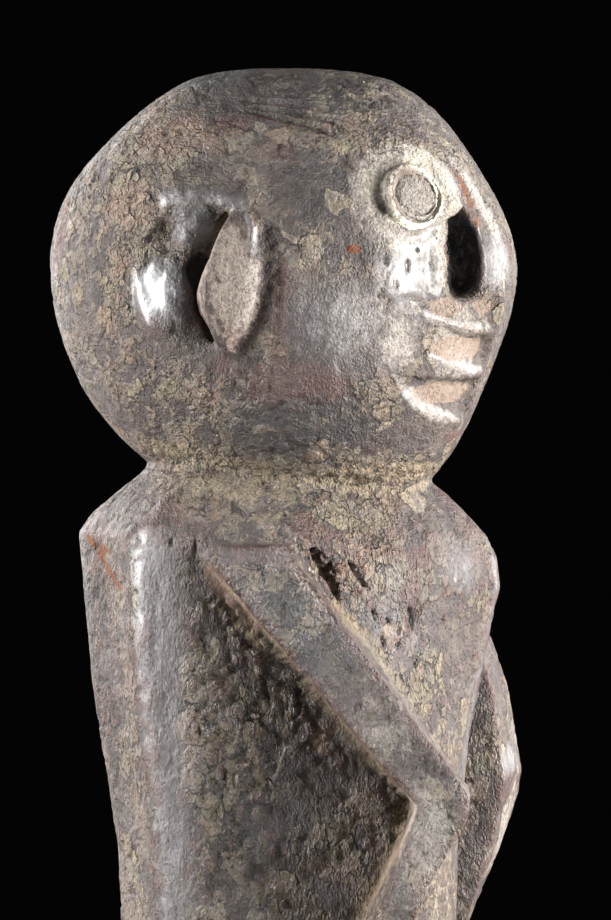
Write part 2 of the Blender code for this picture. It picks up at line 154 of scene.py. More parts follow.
@dataclass(frozen=True)
class Stroke:
    """A line over the surface, such as a groove, a split, a worn edge or a band of dust."""

    path: tuple[Place, ...]
    width: float
    zone: Zone | None = None
    strength: float = 1.0
    push: float = 0.0
    side: Side = Side.BOTH
    taper: bool = False
    soften: float = 0.0

    def share(self, points: np.ndarray) -> np.ndarray:
        """How near the line each point is.

        Args:
            points: The points in millimetres, one a row.

        Returns:
            For each point 1 on the line, falling smoothly to 0 at its width.
        """
        x = on_side(points, self.side)
        places = np.column_stack((x, points[:, 1:]))
        corners = np.array(self.path)
        low, high = corners.min(0) - self.width, corners.max(0) + self.width
        near = np.flatnonzero(((places > low) & (places < high)).all(1))
        found = np.zeros(len(points))
        if not len(near):
            return found
        places = places[near]
        lengths = np.linalg.norm(np.diff(corners, axis=0), axis=1)
        total, run = lengths.sum(), 0.0
        best = np.zeros(len(near))
        for start, end, length in zip(corners, corners[1:], lengths):
            along = np.clip((places - start) @ (end - start) / length**2, 0.0, 1.0)
            away = np.linalg.norm(places - start - along[:, None] * (end - start), axis=1)
            width = self.width
            if self.taper:
                place = (run + along * length) / total
                width = self.width * np.clip(np.sin(np.pi * place), TIP_WIDTH, 1.0) ** TIP_BLUNTNESS
            best = np.maximum(best, np.clip(1.0 - (away / width) ** 2, 0.0, 1.0) ** FALLOFF)
            run += length
        found[near] = best
        return found


Mark = Union[Patch, Stroke]


def on_side(points: np.ndarray, side: Side) -> np.ndarray:
    """The distance of each point from the middle plane, on the given half.

    Args:
        points: The points in millimetres, one a row.
        side: The half that counts.

    Returns:
        The distance, which is negative on the other half.
    """
    if side is Side.BOTH:
        return np.abs(points[:, 0])
    return side.value * points[:, 0]


def layered(mark: Mark, **finishes: float) -> list[Mark]:
    """The same mark once for each of several finishes.

    Args:
        mark: The mark, which has no push of its own.
        finishes: How strong each finish is, by its name.

    Returns:
        The marks.
    """
    return [replace(mark, zone=Zone(name), strength=share) for name, share in finishes.items()]


@dataclass(frozen=True)
class Head:
    """The ball of the head: its crown grooves, temples, jaw and nape."""

    crown: float = 358.0
    groove_width: float = 1.1
    groove_depth: float = 1.0
    groove_steps: tuple[tuple[float, float], ...] = ((0.0, 0.0), (1.7, 1.2), (-1.9, -3.0))

    def marks(self) -> list[Mark]:
        """The marks of the head outside the face and the ears.

        Returns:
            The marks, the grooves of the crown first.
        """
        crown = self.crown
        made: list[Mark] = []
        for shift, length in self.groove_steps:
            path = (
                (29.0 + shift, 4.4 - length, crown - 7.2 - 0.9 * shift),
                (31.2 + shift, -6.0, crown - 8.6 - 1.1 * shift),
                (32.6 + shift, -16.1 + length, crown - 11.8 - 1.2 * shift),
            )
            made.append(Stroke(path, self.groove_width, Zone.TAN, 0.9, -self.groove_depth, taper=True))
        made += [
            # The darker crown: its own dark tone, and painted shade where little light falls on the top.
            Patch((18, -4, crown), (36, 38, 18), Zone.DARK, 1.3),
            Patch((41.5, -12.9, 332), (13, 15, 13), Zone.DARK, 0.85, side=Side.RIGHT),
            Patch((41.5, -12.9, 332), (10, 12, 10), Zone.DARK, 0.5, side=Side.LEFT),
            Patch((43, -10, 330), (12, 15, 15), Zone.EVEN, 0.6),
            Patch((30, 28, 330), (26, 30, 34), Zone.CHIPS, 1.0),
            Patch((34, 22, 286), (18, 26, 16), Zone.CHIPS, 0.7),
            Patch((30, -20, 346), (16, 18, 14), Zone.CHIPS, 0.7),
            Patch((40, -16, 280), (14, 22, 9), Zone.CHIPS, 0.5),
            Patch((32, 22, 344), (14, 16, 9), Zone.PINK, 0.8),
            Patch((36, 30, 330), (12, 14, 12), Zone.PINK, 0.55),
            Patch((45, -8, 288), (12, 22, 11), Zone.RUST, 0.9),
            Patch((45, 9, 292), (8, 10, 9), Zone.RUST, 0.6),
            Patch((33, 8, 347), (9, 10, 7), Zone.RUST, 0.7),
            Patch((38, -4, 341), (7, 10, 5), Zone.RUST, 0.55),
            Stroke(((47.4, -5.2, 316), (47.5, -5.0, 300), (45, -4, 289)), 3.4, Zone.RUST, 0.8),
            Patch((18, 49.1, 324.4), (14, 6, 18), Zone.RUST, 0.7),
            # The polished lower cheek, with painted blue-grey sheen and pale painted highlight on it.
            Patch((45.1, -17.7, 301.5), (12, 16, 14), Zone.POLISH, 0.6),
            Patch((44, -17, 302), (13, 20, 17), Zone.EVEN, 1.0),
            Patch((45.4, -15.0, 303), (12, 17, 15), Zone.BLUE, 0.6),
            Patch((44.0, -19.0, 304), (13, 18, 15), Zone.PALE_AND_LIT, 0.55),
            Patch((43.4, -20.6, 319.3), (2.4, 2.4, 1.3), Zone.AMBER, 1.6, side=Side.RIGHT),
            # Painted shade under the jaw, over its own dark reddish tone.
            Patch((38, -10, 280), (18, 28, 12), Zone.DARK, 0.85),
            Patch((38, 12, 288), (14, 14, 9), Zone.PINK, 0.5),
        ]
        return made


@dataclass(frozen=True)
class Ear:
    """One leaf-shaped ear, the crevice behind it and the polished rims of its hollow."""

    crevice_depth: float = 4.4
    crevice_width: float = 2.8
    bulge: float = 1.1
    fill: float = 5.2

    def marks(self) -> list[Mark]:
        """The marks of the ears.

        Returns:
            The marks.
        """
        crevice = (
            (43.6, 5.8, 328.5),
            (42.6, 8.8, 324.0),
            (42.0, 12.1, 317.0),
            (41.6, 13.4, 311.5),
            (41.8, 12.6, 306.0),
            (42.8, 10.4, 300.5),
            (43.8, 7.8, 297.0),
        )
        rim = ((44.8, 5.0, 330.2), (42.9, 13.5, 331.6), (41.6, 20.5, 330.6))
        front = (
            (45.2, 3.6, 329.8),
            (46.6, 1.2, 323.9),
            (47.0, 1.8, 318.0),
            (47.0, 2.8, 311.4),
            (46.6, 4.6, 304.2),
            (45.4, 7.4, 298.0),
        )
        before = ((47.4, -1.6, 322.0), (47.8, -1.2, 314.0), (47.6, 0.2, 306.0), (46.4, 3.4, 299.0))
        groove = ((46.9, -4.8, 322), (47.6, -4.2, 304), (42.6, -1.6, 286))
        deepest = ((42.6, 10.0, 322), (42.0, 14.6, 315), (42.0, 13.6, 309), (42.2, 11.4, 302))
        return [
            Patch((40.0, 18.0, 310.0), (13, 11.5, 15), push=self.fill, soften=0.7),
            # Painted shade: the crevice behind the ear is cut deep and darkened near black, with a darker band along
            # it.
            Stroke(crevice, self.crevice_width, Zone.SOOT_AND_SHADE, 1.0, -self.crevice_depth, taper=True),
            Patch((41.6, 13.6, 314.0), (5.5, 4.6, 6.5), Zone.SOOT_AND_SHADE, 1.1, -1.8),
            Stroke(crevice, 3.6, Zone.DARK, 0.8, taper=True),
            Stroke(deepest, 3.2, Zone.SOOT_AND_SHADE, 1.3, -2.4, taper=True),
            Patch((41.0, 19.0, 305.5), (10, 9.0, 8.0), push=self.bulge),
            Patch((40.0, 24.0, 310), (10, 12, 11), soften=0.8),
            # The polished bulge behind the ear, with painted blue-grey sheen.
            *layered(Patch((42.0, 22.0, 310.0), (10, 9.5, 9.5)), polish=1.5, blue=1.0),
            # Painted sheen on the hollow's polished upper slope and on its rim.
            Patch((42.4, 15.0, 324.0), (9, 6.5, 6.5), Zone.POLISH, 1.4, 2.2),
            Patch((42.4, 14.5, 324.6), (8, 7, 7), Zone.BLUE, 1.0),
            Stroke(rim, 3.4, Zone.POLISH, 1.1, 0.4),
            Stroke(rim, 3.2, Zone.BLUE, 0.5),
            Stroke(before, 3.6, push=-0.7),
            # The ear's polished front edge, with painted blue-grey sheen.
            Stroke(front, 1.5, Zone.POLISH, 1.3, 0.5, taper=True),
            Stroke(front, 1.1, Zone.BLUE, 0.9),
            Stroke(groove, 1.0, Zone.TAN, 0.5, -0.3, taper=True),
            *layered(Patch((46.0, 6.5, 312), (8, 11, 21)), pink=0.9, pale=0.88, even=1.6),
            Patch((47.0, 5.5, 300), (4, 4, 5), Zone.RUST, 0.7),
        ]


@dataclass(frozen=True)
class Face:
    """The face: ring eyes, a wedge nose between deep slots, and a stepped mouth."""

    eye: Place = (35.3, -32.6, 330.8)
    ring: float = 6.9
    ring_width: float = 1.55
    ring_height: float = 1.06
    ring_corners: int = 24
    pores: tuple[tuple[Place, Place, float, float], ...] = (
        ((40.3, -27.3, 317), (1.0, 1.0, 1.9), 1.3, 0.6),
        ((36.4, -31.7, 315.5), (0.8, 0.8, 2.4), 1.3, 0.6),
        ((34.4, -33.6, 319.0), (1.3, 1.3, 1.0), 1.1, 0.4),
        ((39.0, -29.4, 311.5), (0.7, 0.7, 1.5), 1.2, 0.5),
        ((41.7, -26.1, 309.3), (0.9, 0.9, 1.4), 1.3, 0.5),
    )

    def ring_path(self, radius: float, lift: float = 0.6) -> tuple[Place, ...]:
        """A closed line round an eye.

        Args:
            radius: Its distance from the eye's middle.
            lift: How far it stands out from the middle.

        Returns:
            The corners of the line, the first one again at the end.
        """
        out = Vector((self.eye[0], self.eye[1], 10.0)).normalized()
        east = Vector((0, 0, 1)).cross(out).normalized()
        north = out.cross(east)
        turns = [math.tau * k / self.ring_corners for k in range(self.ring_corners + 1)]
        centre = Vector(self.eye) + out * lift
        around = [east * math.cos(t) + north * (self.ring_height * math.sin(t)) for t in turns]
        return tuple(tuple(centre + step * radius) for step in around)

    def marks(self) -> list[Mark]:
        """The marks of the face.

        Returns:
            The marks.
        """
        x, y, z = self.eye
        bridge = (
            (26, -36.5, 344.5),
            (24, -39.5, 339.3),
            (21.5, -42.2, 333.2),
            (19.5, -44.6, 325.6),
            (19, -45.8, 316),
        )
        wing = ((19.4, -45.0, 324), (19.0, -45.9, 315), (19.6, -45.4, 308))
        strip = ((20.5, -41, 341), (17.8, -44, 333), (14.5, -46.5, 327), (12.3, -47.8, 322))
        brow = ((40.4, -27.0, 322.5), (34, -34.0, 322.0), (27.0, -39.5, 327.0))
        upper = ((37, -32, 307.2), (34.6, -36, 304.6), (30.5, -40.3, 302.6), (24, -43.8, 301.4), (12, -47.6, 302))
        middle = (
            (33.5, -34.8, 296.2),
            (29.5, -38.2, 294.8),
            (24.5, -41.2, 293.2),
            (18.6, -43.4, 292),
            (8, -45.4, 292.4),
        )
        lower = (
            (37.4, -28.2, 291.6),
            (33.5, -31.2, 288.2),
            (28.8, -33.6, 285.2),
            (24, -36.6, 282.6),
            (13, -40.6, 280.6),
        )
        slit = ((37.6, -27.6, 291.2), (34.1, -31.9, 290.9), (20, -38.4, 290.2), (9.7, -41.8, 289.6))
        fold = ((31.0, -38.8, 307.6), (29.8, -39.6, 306.0), (29.4, -40, 304.8))
        right = Side.RIGHT
        return [
            Stroke(self.ring_path(5.4, -0.9), 1.9, push=1.5),
            Stroke(self.ring_path(8.4, 0.2), 1.5, push=-0.7),
            Stroke(self.ring_path(11.2, -1.2), 3.2, push=0.7),
            Stroke(self.ring_path(11.0), 4.4, Zone.CREAM, 0.52),
            Stroke(self.ring_path(self.ring), self.ring_width, Zone.CHALK, 1.0, -0.1),
            Patch((x + 1.6, y + 4.4, z - 4.6), (4.6, 4.6, 4.4), Zone.CHALK, 0.5),
            Patch((x, y, z), (19, 19, 18), Zone.PALE_AND_LIT, 1.5),
            Patch((38.8, -25.5, 334), (9, 9, 10), Zone.CREAM, 0.5),
            Patch((31.0, -34.0, 339), (10, 9, 7), Zone.CREAM, 0.6),
            Patch((30.0, -38.0, 329), (6, 6, 8), Zone.CREAM, 0.36),
            # The bright cheek facet under the eye: pale painted highlight, with polish.
            Patch((31.5, -36.5, 323.5), (11, 10, 6), Zone.PALE_AND_LIT, 1.1),
            Patch((31.5, -36.5, 323.5), (10, 9, 5), Zone.POLISH, 0.45),
            Patch((x + 2.0, y + 6.0, z + 7.5), (8, 8, 7), Zone.PALE_AND_LIT, 0.9),
            # The whitish front of the nose, with a painted highlight down it.
            Stroke(strip, 2.2, Zone.CHALK, 0.42),
            Stroke(strip, 4.2, Zone.PALE_AND_LIT, 0.9),
            Stroke(bridge, 1.3, Zone.AMBER, 0.75),
            Stroke(wing, 1.1, Zone.POLISH, 1.0),
            Stroke(brow, 1.4, Zone.RUST, 0.5),
            # Painted highlight on the cheek facet: polish with a pale tone.
            Patch((35, -33, 314.2), (13, 13, 11.5), Zone.POLISH, 0.5),
            Patch((34, -34, 314.0), (16, 15, 14), Zone.PALE_AND_LIT, 0.45),
            *layered(Patch((37.5, -28.5, 300), (9, 11, 15)), pale=0.6, even=0.8),
            Patch((35, -33, 314.2), (14, 14, 12), Zone.EVEN, 0.75),
            # The lit wall beside the nose slot: pushed out, with pale painted light and tan.
            Patch((28.8, -37.8, 317), (4.0, 4.0, 11), Zone.PALE_AND_LIT, 0.8, 1.3),
            Patch((28.6, -38.0, 316), (3.6, 3.6, 11), Zone.TAN, 0.6),
            # Painted blue-grey sheen and pale highlight on the side of the nose.
            *layered(Patch((13, -48.3, 316), (9, 6, 9)), polish=0.55, pale=0.6, blue=0.9),
            Patch((34, -25, 338), (9, 9, 7), Zone.CREAM, 0.35),
            Patch((28.5, -39, 306.4), (11, 8, 3.6), Zone.PEACH, 0.7),
            Patch((16, -45.5, 306.3), (12, 8, 3.2), Zone.PEACH, 0.6),
            Patch((23.0, -40.9, 297.2), (18, 12, 4.2), Zone.PEACH, 0.9),
            Patch((21.5, -37.6, 287.4), (19, 12, 3.6), Zone.PEACH, 1.0),
            Patch((22, -41, 295), (22, 12, 16), Zone.EVEN, 0.6),
            Stroke(upper, 2.4, Zone.POLISH, 0.5, 0.3, taper=True),
            Stroke(middle, 2.0, Zone.POLISH, 0.5, 0.3, taper=True),
            Stroke(lower, 2.6, Zone.POLISH, 0.5, 0.3, taper=True),
            # Painted highlights along the mouth's three rims.
            Stroke(upper, 3.4, Zone.PALE_AND_LIT, 0.7, taper=True),
            Stroke(middle, 2.8, Zone.PALE_AND_LIT, 0.7, taper=True),
            Stroke(lower, 3.6, Zone.PALE_AND_LIT, 0.7, taper=True),
            Patch((24, -40, 299), (20, 14, 22), Zone.PALE_AND_LIT, 0.55),
            Patch((20, -43, 300), (16, 10, 3), Zone.AMBER, 0.3),
            # Painted shade in the fine line under the nose.
            Stroke(((24.5, -42.0, 299.6), (14, -46.5, 299.8)), 0.7, Zone.SOOT_AND_SHADE, 0.7, -0.3, taper=True),
            Patch((12, -39, 277), (18, 8, 4), Zone.RUST, 0.6),
            Patch((7, -51, 319), (10, 6, 6), Zone.RUST, 0.7),
            # Painted shade in the mouth's slit.
            Stroke(slit, 0.8, Zone.SOOT_AND_SHADE, 1.0, -0.6, taper=True),
            Patch((25.5, -38.5, 318), (7.5, 8, 13), soften=0.5),
            # Painted shade filling the deep slot beside the nose.
            Patch((19.5, -41.0, 317.5), (7.6, 7.6, 12.6), Zone.SOOT_AND_SHADE, 1.5),
            Patch((24.0, -38.5, 317.5), (7.0, 7.0, 12.5), Zone.TORN, 1.0),
            # Painted shade in the cheek's pores and folds.
            *(Patch(centre, radii, Zone.SOOT_AND_SHADE, dark, -deep, right) for centre, radii, dark, deep in self.pores),
            Stroke(fold, 0.6, Zone.SOOT_AND_SHADE, 1.0, -0.5, right),
            Stroke(((24.6, -42.6, 306.8), (22.6, -43.6, 306.0)), 0.5, Zone.SOOT_AND_SHADE, 1.0, -0.4, right),
        ]


@dataclass(frozen=True)
class Trunk:
    """The neck, the yoke, the chest with its upright edge, the flanks and the back."""

    split_depth: float = 2.4
    ridge_width: float = 8.5
    crack_width: float = 0.7
    crack_depth: float = 0.9
    cracks_and_shadow: tuple[tuple[Place, Place], ...] = (
        ((28.5, -26.0, 237.5), (27.6, -26.8, 235.7)),
        ((27.1, -28.1, 232.1), (27.1, -28.5, 230.3)),
        ((26.1, -28.8, 235.6), (26.6, -28.3, 233.4)),
        ((23.9, -31.7, 228.7), (23.4, -32.3, 226.0)),
        ((21.6, -34.0, 227.0), (21.2, -34.6, 224.4)),
        ((15.6, -40.0, 242.4), (15.3, -39.8, 239.7)),
        ((18.2, -37.2, 237.2), (17.4, -37.9, 235.2)),
        ((22.6, -34.6, 215.6), (22.6, -35.2, 213.2)),
        ((26.7, -29.1, 224.8), (26.2, -29.7, 222.2)),
        ((18.1, -36.9, 219.9), (19.8, -36.5, 217.2)),
        ((30.9, -23.1, 239.6), (29.9, -23.9, 236.5)),
        ((36.9, -7.2, 222.6), (36.7, -7.8, 218.6)),
        ((38.5, 0.4, 225.6), (37.7, -0.9, 219.6)),
    )
    blade_count: int = 8
    blade_gap: float = 2.5
    blade_width: float = 1.1
    blade_depth: float = 0.7
    blade_start: tuple[float, float] = (8.5, 210.0)
    blade_lean: float = 0.35

    def blade_marks(self) -> list[Mark]:
        """The carver's slanting blade marks, side by side at the back of the flank.

        Returns:
            One mark for each cut of the blade.
        """
        first_y, first_z = self.blade_start
        made: list[Mark] = []
        for k in range(self.blade_count):
            y, z = first_y + self.blade_lean * k * self.blade_gap, first_z - k * self.blade_gap
            path = ((39.6, y - 4.5, z + 5.0), (39.8, y + 5.0, z - 5.0))
            made.append(Stroke(path, self.blade_width, Zone.POLISH, 0.7, -self.blade_depth, taper=True))
        return made

    def marks(self) -> list[Mark]:
        """The marks of the trunk.

        Returns:
            The marks.
        """
        right = Side.RIGHT
        split = (
            (40.9, -10.4, 254.6),
            (39.9, -12.3, 251.4),
            (38.8, -12.9, 249.6),
            (37.0, -15.5, 245.4),
            (35.9, -16.4, 241.6),
        )
        branch = ((38.8, -12.9, 249.6), (36.8, -16.0, 248.2))
        lip = ((42.6, -4.9, 256.4), (40.6, -9.2, 251.2), (38.6, -13.4, 244.6), (37.6, -15.0, 241.4))
        second = ((34.9, -18.7, 250.6), (33.8, -20.6, 247.0), (31.9, -22.3, 243.8))
        third = ((25.5, -30.4, 240.0), (24.6, -31.2, 237.4), (24.0, -31.4, 234.6))
        fourth = ((29.6, -25.0, 234.6), (28.8, -25.8, 230.4))
        left_split = ((33.0, -21.0, 252), (30.0, -24.6, 240))
        ridge = tuple((41.6 - 0.035 * k * 10, 24.8 - 0.05 * k * 10, 252.0 - k * 10) for k in range(9))
        ridge_cut = ((42.0, 20.6, 259.4), (42.3, 20.2, 256), (42.2, 20.5, 252.4))
        second_cut = ((42.3, 15.2, 259.0), (42.6, 14.6, 255), (42.5, 15.0, 251.0))
        crumbled = ((42.6, 8.0, 240), (42.0, -1.0, 229), (40, -8.0, 219), (38, -14, 208))
        keel = ((2.8, -48.3, 250), (2.0, -46.8, 236), (2.6, -44.2, 221), (3.0, -40.7, 201))
        chip = ((20.2, 42.5, 254.2), (23.1, 40.6, 252.0), (28.9, 36.6, 251.6))
        chip_tail = ((23.1, 40.6, 252.0), (28.0, 37.0, 247.6), (32.7, 33.3, 243.4))
        crease = ((30.6, 1.9, 270.0), (26, -18, 269.8), (20.5, -28.2, 269.6), (10, -33, 270))
        nape = ((30.6, 1.9, 270.4), (30, 15, 272.5), (24, 25, 275.5), (10, 31, 277))
        return [
            # The chest's splits, cut in, with painted shade near black in them.
            Stroke(split, 1.3, Zone.SOOT_AND_SHADE, 1.0, -self.split_depth, right, True),
            Stroke(branch, 0.8, Zone.SOOT_AND_SHADE, 1.0, -1.2, right, True),
            Stroke(lip, 0.9, Zone.CREAM, 0.5, 0.2, right),
            Patch((38.4, -13.6, 249), (5, 6.5, 8), Zone.TORN, 1.0, side=right),
            Stroke(second, 1.0, Zone.SOOT_AND_SHADE, 1.1, -1.6, right, True),
            Stroke(third, 0.9, Zone.SOOT_AND_SHADE, 1.1, -1.3, right, True),
            Stroke(fourth, 0.9, Zone.SOOT_AND_SHADE, 0.9, -1.0, right, True),
            Stroke(left_split, 1.0, Zone.SOOT_AND_SHADE, 0.8, -1.0, Side.LEFT, True),
            # The rounded back ridge: polish with painted blue-grey sheen.
            *layered(Stroke(ridge, self.ridge_width), polish=0.85, blue=0.65),
            Stroke(ridge, 13.0, soften=1.0),
            Stroke(ridge, 8.0, push=-1.0),
            # Two short cuts at the top of the ridge, with painted shade in them.
            Stroke(ridge_cut, 0.55, Zone.SOOT_AND_SHADE, 1.2, -0.9, right, True),
            Stroke(second_cut, 0.5, Zone.SOOT_AND_SHADE, 1.2, -0.8, right, True),
            Patch((42, 24, 253), (6, 8, 6), Zone.POLISH, 0.7),
            Stroke(crumbled, 6.0, Zone.TORN, 0.9),
            Patch((38, 6, 205), (10, 14, 34), Zone.TORN, 0.3),
            Patch((37, -15, 247), (7, 9, 9), Zone.TORN, 0.6, side=right),
            *self.blade_marks(),
            # Small fissures, cut in, with painted shade in them.
            *(
                Stroke(path, self.crack_width, Zone.SOOT_AND_SHADE, 1.1, -self.crack_depth, right, True)
                for path in self.cracks_and_shadow
            ),
            # The polished upright chest edge, with painted blue-grey sheen.
            Stroke(keel, 2.4, Zone.POLISH, 0.45),
            Stroke(keel, 2.2, Zone.BLUE, 0.7),
            Patch((13.3, -41.4, 248.3), (10, 9, 8), Zone.POLISH, 0.5),
            Stroke(chip, 1.5, Zone.AMBER, 1.0, -0.3, right),
            Patch((25.8, 38.8, 251.6), (3.4, 3.4, 2.8), Zone.AMBER, 1.0, side=right),
            Stroke(chip_tail, 1.5, Zone.AMBER, 1.0, -0.4, right),
            Stroke(crease, 4.5, Zone.TAN, 0.9),
            Stroke(crease, 6.0, Zone.TORN, 0.45),
            *(Stroke(path, 9.0, Zone.CHIPS, 0.9) for path in (crease, nape)),
            Stroke(nape, 4.0, Zone.TAN, 0.7),
            Patch((30, 8, 266), (22, 34, 8), Zone.TAN, 0.5),
            Patch((30, -14, 262), (20, 22, 7), Zone.TAN, 0.3),
            Patch((22, 41, 225), (14, 10, 46), Zone.PINK, 0.36),
            *layered(Patch((24, 40, 222), (16, 10, 60)), rust=0.85, chips=0.2),
            Patch((22, 42, 215), (16, 12, 64), Zone.DARK, 1.1),
            Patch((34, 0, 264), (30, 34, 9), Zone.CHIPS, 0.8),
            Patch((32, -4, 263), (18, 28, 8), Zone.DARK, 0.6),
            Patch((38, 6, 222), (12, 20, 40), Zone.CHIPS, 1.2, side=right),
            Patch((30, -22, 246), (14, 12, 14), Zone.CHIPS, 0.3),
            Patch((24, -34, 222), (12, 12, 18), Zone.CHIPS, 0.25),
            Patch((0, 44, 225), (20, 8, 46), Zone.PINK, 0.36),
            # Painted shade on the flank under the arm, over its own dark tone.
            Patch((38, 2, 204), (12, 25, 52), Zone.DARK, 0.8),
            Patch((40, -2, 236), (10, 10, 16), Zone.DARK, 0.5),
            Patch((12.8, -36.5, 172), (14, 12, 20), Zone.CREAM, 0.3, side=right),
            Patch((11.0, -38, 178), (20, 14, 44), Zone.TAN, 0.42),
            Patch((34, 20, 205), (3.0, 3.0, 5.0), Zone.AMBER, 0.7, side=right),
            Patch((39.6, 10.0, 207), (3.5, 3.5, 6.5), Zone.RUST, 0.9, side=right),
            Patch((33, -18, 244), (12, 12, 14), Zone.PINK, 0.3),
            Patch((29, -25, 242), (18, 20, 26), Zone.PALE_AND_LIT, 0.35),
            Patch((31, -22, 240), (16, 20, 26), Zone.DARK, 0.5),
            Patch((27, -27, 236), (18, 22, 32), Zone.BLUE, 0.42),
            Patch((28, -26, 238), (18, 22, 30), Zone.EVEN, 0.42),
            Patch((0, 0, 150), (60, 60, 12), Zone.DARK, 0.2),
        ]


@dataclass(frozen=True)
class Arm:
    """One slab arm: its worn front edge, and the dusty bevel along its rear edge."""

    bevel: float = 4.2
    forearm_bevel: float = 4.4

    def marks(self) -> list[Mark]:
        """The marks of the arms.

        Returns:
            The marks.
        """
        rear = (
            (42.5, 12.4, 254.5),
            (45.6, 2.0, 241.0),
            (45.6, -9.1, 229.0),
            (45.6, -20.1, 217.0),
            (45.6, -34.8, 200.0),
        )
        bevel = tuple((x - 3.2, y + 1.6, z - 1.6) for x, y, z in rear)
        lee = tuple((x - 5.4, y + 3.4, z - 3.4) for x, y, z in rear)
        forearm = ((43, -33.5, 199), (40, -31.8, 190), (35, -28.6, 183), (34, -26, 174), (35, -24, 160))
        rubbed = ((46, -5.0, 233.0), (46, -9.5, 228), (46, -14.5, 222.6))
        far_edge = ((44, -50, 205), (45, -49.5, 197), (44, -46, 186))
        front = ((37.8, -14.6, 242.1), (36.2, -17.6, 237), (34.0, -21.4, 230.6))
        front_low = ((34.0, -21.4, 230.6), (29.5, -29.2, 221.6), (27.5, -37.0, 210))
        return [
            *layered(Stroke(bevel, self.bevel), pink=1.0, even=1.3),
            *layered(Stroke(forearm, self.forearm_bevel), pink=0.9, even=1.0),
            Patch((45.6, -16, 226), (5, 34, 36), Zone.EVEN, 0.3),
            Patch((45, 2, 247), (6, 10, 10), Zone.CHIPS, 0.9),
            Patch((45, -12, 238), (5, 8, 9), Zone.CHIPS, 0.8),
            # Painted blue-grey sheen on the arm's outer face.
            Patch((45.6, -14, 230), (5, 28, 30), Zone.BLUE, 0.3),
            Stroke(lee, 2.0, Zone.TAN, 1.0),
            Stroke(forearm, 2.4, Zone.TAN, 0.7),
            Stroke(rubbed, 0.6, Zone.AMBER, 0.8),
            Stroke(front, 0.7, Zone.AMBER, 0.8),
            Stroke(front_low, 0.6, Zone.AMBER, 0.5),
            Stroke(rear, 1.0, Zone.RUST, 0.5),
            Patch((43.4, 2.0, 252.5), (6, 12, 4.5), Zone.POLISH, 0.8),
            Patch((45.6, -6, 243), (6, 28, 26), Zone.DARK, 1.1),
            Patch((44, -36, 190), (8, 12, 24), Zone.PALE_AND_LIT, 0.8),
            Patch((45, -27, 214), (6, 15, 18), Zone.PALE_AND_LIT, 0.5),
            # Painted light: the far forearm made paler where the front light only grazes it.
            Patch((40, -46, 184), (14, 10, 34), Zone.PALE_AND_LIT, 0.6, side=Side.LEFT),
            Patch((38, -47, 186), (16, 10, 34), Zone.TAN, 0.38, side=Side.LEFT),
            Patch((44, -45, 215), (8, 16, 28), Zone.TAN, 0.38, side=Side.LEFT),
            Patch((44, -46.5, 203), (6, 5, 6), Zone.POLISH, 0.4),
            Patch((34, -47.6, 198.5), (14, 6, 5.5), Zone.POLISH, 0.8, side=Side.LEFT),
            Stroke(far_edge, 0.9, Zone.AMBER, 0.8, side=Side.LEFT),
            Patch((43.0, -8.0, 256), (6, 6, 3.5), Zone.TAN, 0.4),
        ]


@dataclass(frozen=True)
class Lower:
    """The hips, the legs and the low base, plainer and dustier towards the ground."""

    base_top: float = 18.0

    def marks(self) -> list[Mark]:
        """The marks of the lower half.

        Returns:
            The marks.
        """
        top = self.base_top
        return [
            Patch((0, 0, top), (60, 60, 7), Zone.TAN, 0.5),
            Patch((30, 0, 100), (24, 50, 20), Zone.DARK, 0.4),
            Patch((24, 20, 60), (20, 30, 26), Zone.PINK, 0.45),
            Patch((24, -22, 96), (16, 14, 14), Zone.POLISH, 0.5),
            Patch((24, -26, 56), (12, 10, 12), Zone.POLISH, 0.45),
            Patch((20, -20, 40), (18, 20, 14), Zone.TAN, 0.35),
            Patch((0, 0, 4), (70, 70, 7), Zone.RUST, 0.35),
            Stroke(((49, -30, 17), (49, 0, 17.4), (49, 30, 17)), 1.4, Zone.POLISH, 0.6),
            Stroke(((49, -12, 17.4), (49, 12, 17.4)), 0.8, Zone.AMBER, 0.5),
        ]


# ------------------------------------------------------------------------ node graphs


